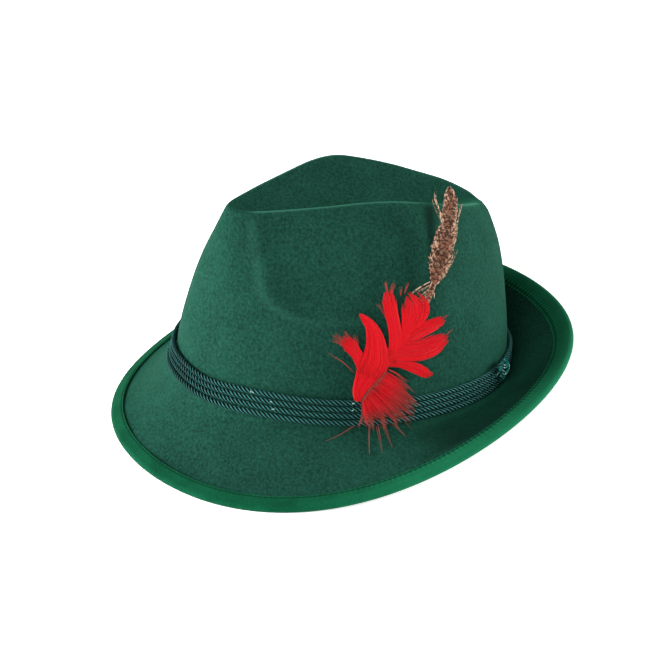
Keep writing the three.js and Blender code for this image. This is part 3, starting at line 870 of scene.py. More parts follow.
@dataclass(frozen=True)
class PlainFinish:
    """Plain finish with a little grain, for the floor and small trim."""

    name: str
    colour: Vec3
    rough: float = 0.7
    grain: float = 300.0
    glow: float = 0.0

    def make(self) -> bpy.types.Material:
        """Makes the material."""
        bench = Bench(self.name)
        darker = tuple(channel * 0.985 for channel in self.colour)
        colour = bench.mix(srgb(*darker), srgb(*self.colour), bench.noise(self.grain, 2.0))
        return bench.finish(
            Base_Color=colour,
            Roughness=self.rough,
            Specular_IOR_Level=0.2,
            Emission_Color=srgb(*self.colour),
            Emission_Strength=self.glow,
        )


def dress(piece: bpy.types.Object, material: bpy.types.Material, slot: str, *nodes: str) -> None:
    """Puts a finish on a piece, makes it ride on the hat and hides the CAD parts that it stands for.

    Args:
        piece: The piece.
        material: Its finish.
        slot: Not used.
        nodes: CAD nodes that it stands for.
    """
    piece.data.materials.clear()
    piece.data.materials.append(material)
    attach(piece, BODY)
    if nodes:
        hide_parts(*nodes)
    log.info("%s: %d faces", piece.name, len(piece.data.polygons))


def waves(points: np.ndarray, size: float, seed: int) -> np.ndarray:
    """Gives soft random numbers between about -1 and 1 that change over a distance.

    Args:
        points: Places in millimetres.
        size: Distance in millimetres over which the numbers change.
        seed: Which random pattern.

    Returns:
        One number for each place.
    """
    rng = np.random.default_rng(seed)
    total = np.zeros(points.shape[:-1])
    for _ in range(10):
        direction = unit(rng.normal(size=3)) / (size * rng.uniform(0.7, 1.6))
        total += np.sin(2 * np.pi * (points @ direction + rng.uniform()))
    return total / 4.0


@dataclass
class FeltBody:
    """Crown and brim, one moulded felt piece."""

    stations: int = 440
    brim_rows: int = 40
    corner_rows: int = 13
    wall_rows: int = 72
    edge_rows: int = 9
    top_rows: int = 26
    inner_step: int = 4
    crown_wave: float = 0.35
    bead_height: float = 0.4
    bead_width: float = 1.7
    shoulder: float = 1.5
    shoulder_place: tuple[float, float] = (0.76, 0.24)
    shoulder_side: tuple[float, float] = (166, 24)
    shoulder_drop: float = 1.0
    drop_width: float = 3.4
    # Strengths of the painted light and shade along the pinch's edge, of a painted highlight along the ridge, and of
    # a painted highlight patch on the ridge towards the back, with the patch's width and place.
    pinch_edge_shading: float = 0.17
    ridge_highlight: float = 0.5
    ridge_patch_highlight: float = 0.16
    patch_width: float = 5.5
    patch_side: tuple[float, float] = (142, 13)
    # Strength of the painted shadow beside the brown feather.
    feather_shadow: float = 0.75
    finish: FeltFinish = field(default_factory=FeltFinish)

    def rows(self, angle: np.ndarray) -> np.ndarray:
        """Gives the outer face.

        Args:
            angle: Degrees round the hat, one for each station.

        Returns:
            Points as row by station by axis, from the brim's edge to the middle of the top.
        """
        form = FORM
        reach, corner = form.reach(angle), form.corner(angle)
        edge = form.crown_edge(angle)
        felt_edge = 1 - (form.tape + form.clearance) / reach
        corner_brim, corner_wall = corner / reach, corner / edge[:, 2]
        rows = []
        for t in np.linspace(0, 1, self.brim_rows, endpoint=False):
            rows.append(form.brim_point(angle, felt_edge + (corner_brim - felt_edge) * t))
        for t in np.linspace(0, 1, self.corner_rows, endpoint=False):
            rows.append(form.corner_curve(angle, t))
        wall_top = 1 - form.edge_corner / edge[:, 2]
        for t in np.linspace(0, 1, self.wall_rows, endpoint=False):
            rows.append(form.wall_point(angle, corner_wall + (wall_top - corner_wall) * t))
        half = np.maximum(np.abs(edge[:, 0]), form.edge_corner * 1.6)
        top_side = np.maximum(1 - form.edge_corner / half, 0)
        low, high = form.wall_point(angle, wall_top), form.top_point(angle, top_side)
        for t in np.linspace(0, 1, self.edge_rows, endpoint=False):
            rows.append(quadratic(low, edge, high, np.full_like(angle, t)))
        for t in np.linspace(1, 0, self.top_rows):
            rows.append(form.top_point(angle, top_side * t))
        return np.array(rows)

    def pinch_painted_shading(self, angle: np.ndarray, count: int) -> np.ndarray:
        """Gives painted light and shade along the pinch's edge: lighter just outside it and darker just inside it.

        Args:
            angle: Degrees round the hat, one for each station.
            count: Rows of the outer face.

        Returns:
            Shares as row by station, below 0 where the felt is darker.
        """
        first = self.brim_rows + self.corner_rows
        share = np.clip((np.arange(count) - first) / self.wall_rows, 0, 1)[:, None]
        inside = FORM.pinch_inside(angle[None], share)
        side = off_front(angle)[None]
        fade = np.clip((FORM.pinch_back - side) / 60, 0, 1) * np.clip(share * 4, 0, 1)
        rim = self.pinch_edge_shading * hill(inside, -0.2, 0.2) - self.pinch_edge_shading * hill(inside, 0.14, 0.12)
        wall = (np.arange(count)[:, None] >= first) & (np.arange(count)[:, None] < first + self.wall_rows)
        return rim * fade * wall

    def gutter_shade(self, angle: np.ndarray, count: int) -> np.ndarray:
        """Gives painted shade in the hollow between the crown and the turned-up brim, and on the brim's front a band
        of painted shade across its middle with a little painted light nearer its root.

        Args:
            angle: Degrees round the hat, one for each station.
            count: Rows of the outer face.

        Returns:
            Shares as row by station.
        """
        in_share = np.clip(np.arange(count) / self.brim_rows, 0, 1)[:, None]
        side = off_front(angle)[None]
        across = np.interp(in_share, [0.1, 0.35, 0.8, 1.0], [0.0, 1.0, 0.9, 0.3])
        shaded = across * np.interp(side, [80, 100, 125, 145, 180], [0.0, 0.92, 0.8, 0.35, 0.15])
        across = np.interp(in_share, [0.2, 0.4, 0.55, 0.75, 0.9, 1.0], [0.0, 0.1, 0.1, -0.03, -0.05, 0.0])
        front = across * np.interp(side, [0, 25, 70, 90], [0.6, 1.0, 1.0, 0.0])
        return (shaded + front) * (np.arange(count) < self.brim_rows + self.corner_rows)[:, None]

    def feather_shade(self, rows: np.ndarray, angle: np.ndarray) -> np.ndarray:
        """Gives a painted shadow on the felt along the front edge of the brown feather, which stands off it.

        Args:
            rows: Outer face, as row by station by axis, in the head frame.
            angle: Degrees round the hat, one for each station.

        Returns:
            Shares as row by station.
        """
        from_base = rows - np.array(PLANE.base)
        back, up = from_base @ np.array(PLANE.back), from_base @ np.array(PLANE.up)
        along = np.interp(up, [56, 66, 104, 113], [0.0, 0.8, 1.0, 0.0])
        middle, width = np.interp(up, [70, 106], [44.4, 48.2]), np.interp(up, [70, 106], [2.6, 5.0])
        return self.feather_shadow * along * hill(back, middle, width) * ((angle > 40) & (angle < 150))

    @staticmethod
    def normals(rows: np.ndarray) -> np.ndarray:
        """Gives the directions that stand on the outer face."""
        along = np.roll(rows, -1, 1) - np.roll(rows, 1, 1)
        across = np.gradient(rows, axis=0)
        normal = unit(np.cross(along, across))
        middle = normal[-2].copy()
        middle[:, 0] = 0
        normal[-1] = unit(middle)
        return normal

    def build(self) -> bpy.types.Object:
        """Builds and dresses the felt.

        Returns:
            The piece.
        """
        angle = np.arange(self.stations) * 360 / self.stations
        rows = self.rows(angle)
        normal = self.normals(rows)
        wave = waves(rows, 46.0, SEED)[..., None] * self.crown_wave
        ridge_row = self.brim_rows + self.corner_rows + self.wall_rows + self.edge_rows // 2
        from_ridge = np.linalg.norm(rows - rows[ridge_row], axis=-1)
        side = off_front(angle)
        bead = hill(from_ridge, 0, self.bead_width)
        bead *= np.clip((side - 14) / 14, 0.1, 1) * np.clip((170 - side) / 20, 0.1, 1)
        wall_share = (np.arange(len(rows)) - self.brim_rows - self.corner_rows) / self.wall_rows
        rounding = hill(wall_share, *self.shoulder_place)[:, None] * self.shoulder
        rounding = rounding - hill(from_ridge, 0, self.drop_width) * self.shoulder_drop
        rounding = rounding * hill(side, *self.shoulder_side)
        rows = rows + normal * (wave + (self.bead_height * bead + rounding)[..., None])
        stock = MeshStock("felt_body_form")
        outer = FORM.to_rest(rows.reshape(-1, 3))
        # Painted light and shade on the felt: highlights along the ridge and in a patch on it, light and shade along
        # the pinch's edge, shade in the gutter and on the brim's front, and a shadow beside the brown feather.
        painted_light = bead**3 * self.ridge_highlight + self.pinch_painted_shading(angle, len(rows)) - self.gutter_shade(angle, len(rows))
        painted_light = painted_light + self.ridge_patch_highlight * hill(from_ridge, 0, self.patch_width) * hill(side, *self.patch_side)
        painted_light = painted_light - self.feather_shade(rows, angle)
        stock.add(outer, grid_quads(len(rows), self.stations, True), felt_painted_light=painted_light.ravel())
        kept = sorted({*range(0, len(rows), self.inner_step), len(rows) - 1})
        inner = FORM.to_rest((rows - normal * FORM.wall)[kept].reshape(-1, 3))
        stock.add(inner, grid_quads(len(kept), self.stations, True, flip=True), felt_painted_light=0.0)
        first = np.arange(self.stations)
        second = len(outer) + first
        rim = np.stack([np.roll(first, -1), first, second, np.roll(second, -1)], -1)
        stock.quads.append(rim)
        piece = stock.build(weld=WELD)
        dress(piece, self.finish.make(), "felt", "felt_body")
        return piece


@dataclass
class BrimBinding:
    """Folded felt tape round the brim's edge, with a row of stitches on each face."""

    stations: int = 1120
    width: float = 9.5
    seam: float = 1.5
    stitch_pitch: float = 3.1
    stitch_length: float = 2.1
    stitch_radius: float = 0.2
    stitch_sink: float = 0.34
    stitch_arch: float = 0.22
    seam_sink: float = 0.38
    roll_drop: float = 0.95
    pucker: float = 0.2
    front_share: float = 0.66
    finish: TapeFinish = field(default_factory=TapeFinish)

    def section(self) -> tuple[np.ndarray, ...]:
        """Gives the tape's section.

        Returns:
            Distances in from the felt's edge, heights over the felt's middle, shares of the pucker, and how much the
            tape is lighter than its own green, along the outside of the tape from its upper inner edge round the fold
            to its lower inner edge: below 0 is painted shade, in the seam's groove and where the inner edge meets the
            felt, and above 0 is wear on the rolled inner edge and a little lighter round the fold.
        """
        outer = FORM.tape + FORM.clearance
        half = FORM.wall / 2 + outer
        inner_edge = self.width
        top = [
            (inner_edge, half - self.roll_drop, 0.4, -0.2),
            (inner_edge - 0.05, half - 0.35, 1.0, 0.1),
            (inner_edge - 0.35, half - 0.08, 1.0, 0.25),
            (inner_edge - 0.8, half, 1.0, 0.2),
            (inner_edge - self.seam + 0.35, half - 0.12, 0.6, -0.25),
            (inner_edge - self.seam, half - self.seam_sink, 0.2, -0.75),
            (inner_edge - self.seam - 0.4, half - 0.14, 0.6, -0.25),
            (inner_edge - self.seam - 1.0, half, 0.8, 0.05),
            (inner_edge - self.seam - 2.4, half + 0.02, 0.3, 0.0),
            (4.4, half + 0.02, 0.1, 0.0),
            (2.6, half, 0.0, 0.1),
        ]
        fold = [(1 - half * math.cos(a), half * math.sin(a), 0.0, 0.12) for a in np.radians(np.linspace(90, -90, 11))]
        bottom = [(a, -h, p, tone) for a, h, p, tone in reversed(top)]
        return tuple(np.array(top + fold + bottom).T)

    def place(self, angle: np.ndarray, inward: float, height: np.ndarray) -> np.ndarray:
        """Gives points at a distance in from the felt's edge and a height over the felt's middle.

        Args:
            angle: Degrees round the hat.
            inward: Millimetres in from the felt's edge, below 0 outside it.
            height: Millimetres over the middle of the felt.

        Returns:
            Points in millimetres.
        """
        reach = FORM.reach(angle)
        narrowed = self.front_share + (1 - self.front_share) * to_back(angle)
        inward = inward if inward < 1 else 1 + (inward - 1) * narrowed
        share = 1 - (FORM.tape + FORM.clearance + inward) / reach
        base = FORM.brim_point(angle, share)
        normal = FORM.brim_normal(angle, share)
        return base + normal * (height - FORM.wall / 2)[..., None]

    def build(self) -> bpy.types.Object:
        """Builds the tape and its stitches.

        Returns:
            The tape.
        """
        angle = np.arange(self.stations) * 360 / self.stations
        inward, height, pucker, tone = self.section()
        edge = self.place(angle, 0.0, np.zeros(self.stations))
        *run, length = run_round(edge)
        run = np.array(run)
        count = round(length / self.stitch_pitch)
        phase = run / length * count * 2 * np.pi
        back = to_back(angle)
        swell = np.cos(phase) * self.pucker * (0.35 + 1.5 * back)
        outside = []
        for a, h, p in zip(inward, height, pucker):
            outside.append(self.place(angle, a, h + np.sign(h) * p * swell))
        lining = []
        gap = FORM.wall / 2 + FORM.clearance
        for a, h in ((self.width, -gap), (4.0, -gap), (-0.2, -gap), (-0.2, gap), (4.0, gap), (self.width, gap)):
            lining.append(self.place(angle, a, np.full(self.stations, h)))
        # Painted light and shade on the tape: the section's tones, light and dark stripes over the puckers that grow
        # towards the back, and painted light on the tape's outer part at the sides and back.
        shading_and_wear = tone[:, None] + pucker[:, None] * np.cos(phase) * (0.12 + 0.75 * back)
        side_light = np.interp(off_front(angle), [55, 85, 140, 180], [0.0, 0.6, 0.55, 0.4])
        shading_and_wear = shading_and_wear + np.interp(inward, [self.width - 3, self.width - 1], [1.0, 0.4])[:, None] * side_light
        shading_and_wear = np.vstack([shading_and_wear, np.zeros((len(lining), self.stations)), shading_and_wear[:1]])
        ring = np.array(outside + lining)
        ring = np.vstack([ring, ring[:1]])
        stock = MeshStock("brim_binding_form")
        points = FORM.to_rest(ring.reshape(-1, 3))
        stock.add(points, grid_quads(len(ring), self.stations, True, flip=True), tape_shading_and_wear=shading_and_wear.ravel())
        piece = stock.build(weld=WELD)
        dress(piece, self.finish.make(), "binding_tape", "brim_binding")
        self.stitches(angle, run, length, count)
        return piece

    def stitches(self, angle: np.ndarray, run: np.ndarray, length: float, count: int) -> bpy.types.Object:
        """Builds the two rows of stitches.

        Args:
            angle: Degrees at each station.
            run: Millimetres along the edge at each station.
            length: Millimetres round the edge.
            count: Stitches in a row.

        Returns:
            The stitches.
        """
        stock = MeshStock("binding_stitches")
        outer = FORM.wall / 2 + FORM.tape + FORM.clearance
        inward = self.width - self.seam
        share = np.linspace(-0.5, 0.5, 6)
        arch = self.stitch_arch * (1 - (2 * share) ** 2)
        for index in range(count):
            middle = (index + 0.5) / count * length
            where = np.interp(middle + share * self.stitch_length, run, angle, period=length)
            for side in (1.0, -1.0):
                path = self.place(where, inward, side * (outer - self.stitch_sink + arch))
                points, quads, turn = tube(path, np.array([0.5, 0.9, 1, 1, 0.9, 0.5]) * self.stitch_radius, 5, False)
                stock.add(FORM.to_rest(points), quads, thread_turn=turn, thread_crest=0.8)
        piece = stock.build()
        thread = ThreadFinish("binding_thread", (0, 40, 24), (8, 72, 46), 0.7, 2.0)
        dress(piece, thread.make(), "binding_tape")
        return piece


@dataclass
class HatCords:
    """Four cords of four twisted strands each, one above the other round the crown."""

    count: int = 4
    thickness: float = 3.2
    band: tuple[Vec3, ...] = (
        (0, -0.56, 0.03), (18, -0.58, 0.01), (30, -0.36, 0.11), (41, 0.02, 0.14), (60, 0.13, 0.12),
        (90, 0.31, 0.08), (120, 0.5, 0.04), (150, 0.64, 0.01), (180, 0.69, 0), (210, 0.64, 0.01), (240, 0.5, 0.02),
        (270, 0.31, 0.02), (300, -0.2, 0.02), (325, -0.8, 0.02), (345, -0.85, 0.03), (360, -0.56, 0.03),
    )
    coarse: int = 112
    turns: int = 56
    places_per_turn: int = 20
    strands: int = 4
    strand_share: float = 0.4
    sides: int = 8
    front_dark: float = 0.035
    front_turn: float = 24.0
    finish: ThreadFinish = field(default_factory=ThreadFinish)

    def lowest(self, angle: np.ndarray) -> np.ndarray:
        """Gives the centre of the lowest cord, as low as the brim's root lets it lie.

        Args:
            angle: Degrees round the hat.

        Returns:
            Points, one for each angle.
        """
        form, radius = FORM, self.thickness / 2
        out = form.outward(angle)
        lift = follow_round(np.array(self.band), angle)[:, 1]
        centre = form.band_surface(angle, lift * self.thickness + radius)
        centre = centre + out * (radius + form.clearance)
        reach, corner = form.reach(angle), form.corner(angle)
        root = [form.brim_point(angle, corner / reach * k) for k in (4, 3, 2, 1.5, 1.2)]
        root = np.array(root + [form.corner_curve(angle, t) for t in np.linspace(0, 1, 12)])
        step = 0.02
        for _ in range(200):
            near = np.linalg.norm(root - centre, axis=-1).min(0)
            blocked = near < radius + form.clearance
            if not blocked.any():
                break
            centre = centre + (out + UP) * step * blocked[:, None]
        return centre

    def centre(self, index: int, angle: np.ndarray) -> np.ndarray:
        """Gives a cord's centre.

        Args:
            index: Which cord, from the lowest.
            angle: Degrees round the hat.

        Returns:
            Points, one for each angle.
        """
        lowest = self.lowest(angle)
        if index == 0:
            return lowest
        spread = follow_round(np.array(self.band), angle)[:, 2]
        pitch = self.thickness * (1 + spread) + FORM.clearance
        surface = FORM.band_surface(angle, lowest[:, 2] + pitch * index)
        return surface + FORM.outward(angle) * (self.thickness / 2 + FORM.clearance)

    def strand_paths(self, index: int) -> tuple[np.ndarray, list[np.ndarray]]:
        """Gives one cord's middle line and the paths of its strands, as closed loops in millimetres."""
        angle = np.arange(self.coarse) * 360 / self.coarse
        places = self.turns * self.places_per_turn
        rough = self.centre(index, angle)
        loop = catmull(rough, np.arange(8192) / 8192 * self.coarse, closed=True)
        run = run_round(loop)
        want = np.arange(places) / places * run[-1]
        closed = np.vstack([loop, loop[:1]])
        centre = np.stack([np.interp(want, run, closed[:, k]) for k in range(3)], -1)
        forward = unit(np.roll(centre, -1, 0) - np.roll(centre, 1, 0))
        side = unit(np.cross(forward, UP))
        over = unit(np.cross(side, forward))
        strand = self.thickness / 2 * self.strand_share
        orbit = self.thickness / 2 - strand
        turn = np.arange(places) / places * self.turns * 2 * np.pi
        paths = []
        for k in range(self.strands):
            phase = -turn + 2 * np.pi * k / self.strands + index
            paths.append(centre + orbit * (np.cos(phase)[:, None] * side + np.sin(phase)[:, None] * over))
        return centre, paths

    def build(self) -> list[bpy.types.Object]:
        """Builds the cords.

        Returns:
            The pieces, from the lowest.
        """
        material = self.finish.make()
        pieces = []
        for index in range(self.count):
            stock = MeshStock(f"twisted_cord_{index + 1}")
            radius = self.thickness / 2 * self.strand_share
            middle, paths = self.strand_paths(index)
            middle = np.repeat(middle, self.sides, 0)
            for path in paths:
                points, quads, turn = tube(path, np.full(len(path), radius), self.sides, True)
                lay = np.repeat(np.arange(len(path)) / self.places_per_turn, self.sides)
                # The crest number sets the painted shade in the grooves between strands; round the front it is
                # lowered, so the cords are darker there.
                crest = np.linalg.norm(points - middle, axis=1) / (self.thickness / 2)
                from_front = np.degrees(np.arctan2(middle[:, 0], -middle[:, 1]))
                crest = crest - self.front_dark * hill(from_front, 0, self.front_turn)
                stock.add(FORM.to_rest(points), quads, thread_turn=turn - lay * 0.35, thread_crest=crest)
            piece = stock.build()
            dress(piece, material, "hat_cord", f"hat_cord_{index + 1}")
            pieces.append(piece)
        return pieces


def stand(angle: float) -> tuple[np.ndarray, np.ndarray, np.ndarray]:
    """Gives an angle as an array, the direction out of the head line there and the level one along it."""
    at = np.array([angle])
    out = FORM.outward(at)[0]
    return at, out, np.array([-out[1], out[0], 0.0])


@dataclass
class CordKnot:
    """Thread wound over the two upper cords, with a small ring below and loose thread ends."""

    angle: float = 133.0
    rise: float = 2.4
    height: float = 9.0
    width: float = 9.5
    thickness: float = 3.6
    ring_radius: float = 2.2
    ring_wire: float = 1.1
    winds: int = 7
    loose_ends: int = 16
    finish: ThreadFinish = field(
        default_factory=lambda: ThreadFinish("knot_thread", (0, 22, 21), (10, 84, 78), 0.25, 3.0, 0.5)
    )

    def build(self, cords: HatCords) -> bpy.types.Object:
        """Builds the knot on the cords.

        Args:
            cords: The cords that it ties.

        Returns:
            The piece.
        """
        (at, out, level), up = stand(self.angle), UP
        seat = (cords.centre(cords.count - 1, at)[0] + cords.centre(cords.count - 2, at)[0]) / 2
        seat = seat + out * (cords.thickness / 2 + FORM.clearance) + up * self.rise
        stock = MeshStock("wound_knot")
        rng = np.random.default_rng(SEED + 5)
        turn = np.linspace(0, 2 * np.pi, 28, endpoint=False)
        wire = self.height / self.winds * 0.5
        for index in range(self.winds):
            share = (index + 0.5) / self.winds - 0.5
            bulge = math.sqrt(max(1 - (share * 1.75) ** 2, 0.08))
            across = np.cos(turn) * (self.width * bulge / 2 - wire)
            rise = self.thickness / 2 + np.sin(turn) * max(self.thickness * bulge / 2 - wire * 0.6, 0.25)
            slant = np.cos(turn + index * 0.4) * rng.uniform(0.4, 2.4)
            rise = rise + rng.uniform(-0.5, 0.5)
            path = seat + level * across[:, None] + out * rise[:, None]
            path = path + up * (share * self.height + slant)[:, None]
            points, quads, around = tube(path, np.full(len(path), wire), 8, True, face=up)
            stock.add(FORM.to_rest(points), quads, thread_turn=around, thread_crest=1.0)
        centre = seat + up * (-self.height / 2 - self.ring_radius * 0.6) + out * self.thickness / 2
        path = centre + self.ring_radius * (np.cos(turn)[:, None] * level + np.sin(turn)[:, None] * up)
        points, quads, around = tube(path, np.full(len(path), self.ring_wire / 2), 10, True, face=out)
        stock.add(FORM.to_rest(points), quads, thread_turn=around * 0, thread_crest=1.0)
        for _ in range(self.loose_ends):
            start = seat + up * rng.uniform(0.0, 4.5) - level * 2.5 + out * 1.2
            end = start - level * rng.uniform(4, 11) + up * rng.uniform(-2.5, 3.5) + out * rng.uniform(-0.4, 1.2)
            middle = (start + end) / 2 + up * rng.uniform(-1.5, 1.5) + out * rng.uniform(0.2, 1.0)
            path = quadratic(start, middle, end, np.linspace(0, 1, 8))
            points, quads, around = tube(path, np.linspace(0.42, 0.2, 8), 6, False)
            stock.add(FORM.to_rest(points), quads, thread_turn=around, thread_crest=1.0)
        piece = stock.build()
        dress(piece, self.finish.make(), "hat_cord", "cord_knot")
        return piece


@dataclass
class PaleSpecks:
    """Short pale bits on the cords, as (degrees round the hat, cord, length in millimetres)."""

    bits: tuple[Vec3, ...] = ((38.6, 3, 2.4), (45.6, 2, 1.2), (46.4, 1, 1.8), (71.2, 3, 1.4), (71.4, 2, 1.3))
    radius: float = 0.19
    finish: PlainFinish = field(default_factory=lambda: PlainFinish("pale_specks", (160, 196, 184), 0.8))

    def build(self, cords: HatCords) -> bpy.types.Object:
        """Builds the pale bits on the cords.

        Args:
            cords: The cords that it lies on.

        Returns:
            The piece.
        """
        rng = np.random.default_rng(SEED + 21)
        stock = MeshStock("cord_specks")
        for angle, cord, length in self.bits:
            (at, out, level), up = stand(angle), UP
            middle = cords.centre(int(cord), at)[0] + (out + up * 0.4) * cords.thickness * 0.5
            share = np.linspace(-0.5, 0.5, 7)[:, None]
            sway = np.cumsum(rng.normal(0, 0.12, (7, 3)), 0)
            path = middle + (level + up * rng.uniform(-0.6, 0.6)) * share * length + sway
            points, quads, _ = tube(path, np.array([0.3, 0.9, 1, 0.8, 1, 0.8, 0.3]) * self.radius, 6, False)
            stock.add(FORM.to_rest(points), quads)
        piece = stock.build()
        dress(piece, self.finish.make(), "hat_cord")
        return piece


@dataclass(frozen=True)
class FeatherPlane:
    """The plane that both feathers lie in, in the head frame."""

    base: Vec3 = (86.4792, -29.134, 13.8968)
    face: Vec3 = (0.952027, -0.085933, 0.293701)
    up: Vec3 = (-0.292512, 0.026403, 0.955897)
    back: Vec3 = (0.089898, 0.995951, 0)

    def at(self, back: np.ndarray, up: np.ndarray, layer: np.ndarray) -> np.ndarray:
        """Gives points of the head frame from millimetres along the plane's directions."""
        point = np.array(self.base) + np.asarray(back)[..., None] * np.array(self.back)
        point = point + np.asarray(up)[..., None] * np.array(self.up)
        return point + np.asarray(layer)[..., None] * np.array(self.face)


PLANE = FeatherPlane()


class Grain(Enum):
    """How the barbs of a lock end."""

    SMOOTH = 0.05
    TORN = 0.17
    RAGGED = 0.28
    FLUFFY = 0.42


@dataclass(frozen=True)
class Lock:
    """One lock of barbs: its outline rows (back, up, half) in shares of the feather, and how it is made."""

    rows: tuple[Vec3, ...]
    barbs: int
    layer: float
    grain: Grain
    width: float = 0.7


@dataclass(frozen=True)
class Strand:
    """Loose barbs that follow one line, given as (back, up) in shares of the feather."""

    line: tuple[tuple[float, float], ...]
    barbs: int = 3
    width: float = 0.3
    layer: float = 1.2
    fade: float = 0.8

    def lay(
        self, length: float, spread: float, places: int, rng: np.random.Generator
    ) -> tuple[np.ndarray, np.ndarray, np.ndarray]:
        """Lays the strand's barbs on the feather.

        Args:
            length: Millimetres that one share of the feather stands for.
            spread: Millimetres that the barbs part at the end.
            places: Points on each barb.
            rng: Random numbers.

        Returns:
            Millimetres back and up in the feather's plane, points of the head frame, and the width at each place.
        """
        flat = strand_paths(np.array(self.line) * length, self.barbs, spread, places, rng)
        paths = PLANE.at(flat[..., 0], flat[..., 1], np.full(flat.shape[:2], self.layer))
        return flat, paths, self.width * np.interp(np.linspace(0, 1, places), [0, 0.5, 1], [1, 0.8, 0.3])


@dataclass(frozen=True)
class BrimHair:
    """Loose barbs that lie on the brim along one line, given as (degrees round the hat, share of the brim)."""

    line: tuple[tuple[float, float], ...]
    barbs: int = 5
    width: float = 0.42


def strand_paths(line: np.ndarray, count: int, spread: float, places: int, rng: np.random.Generator) -> np.ndarray:
    """Gives loose barbs that start together along a line and part towards its end.

    Args:
        line: Points of the line in millimetres.
        count: How many barbs.
        spread: Millimetres that they part at the end.
        places: Points on each barb.
        rng: Random numbers.

    Returns:
        Points, as barb by place by axis.
    """
    share = np.linspace(0, 1, places)
    middle = catmull(line, share * (len(line) - 1))
    drift = rng.normal(size=(count, 1, line.shape[1])) * spread
    ends = rng.uniform(0.75, 1.0, (count, 1))
    reached = np.stack([np.interp(ends * share, share, middle[:, k]) for k in range(line.shape[1])], -1)
    return reached + drift * (0.15 + 0.85 * share[None, :, None])


def add_barbs(
    stock: MeshStock,
    paths: np.ndarray,
    width: np.ndarray,
    shape: tuple[float, float],
    rng: np.random.Generator,
    run: np.ndarray | float,
    **values: np.ndarray | float,
) -> None:
    """Adds barbs along their paths.

    Args:
        stock: Mesh that they join.
        paths: Points in the head frame, as barb by place by axis.
        width: Width of each barb at each place.
        shape: How much the barbs turn at random, and the height of their ridge as a share of the width.
        rng: Random numbers.
        run: Share of the way from root to tip at each place.
        values: Other numbers for each barb and place, by name.
    """
    count, places = paths.shape[:2]

    def spread(value: np.ndarray | float) -> np.ndarray:
        """Gives a value at each vertex."""
        return np.repeat(np.broadcast_to(value, (count, places)).ravel(), 3)

    face = unit(np.array(PLANE.face) + shape[0] * rng.normal(size=(count, 1, 3)))
    points, quads = ribbons(paths, np.broadcast_to(width, (count, places)), face, shape[1])
    tone = spread(rng.uniform(0, 1, (count, 1)))
    others = {name: spread(value) for name, value in values.items()}
    stock.add(FORM.to_rest(points), quads, barb_run=spread(run), barb_tone=tone, **others)


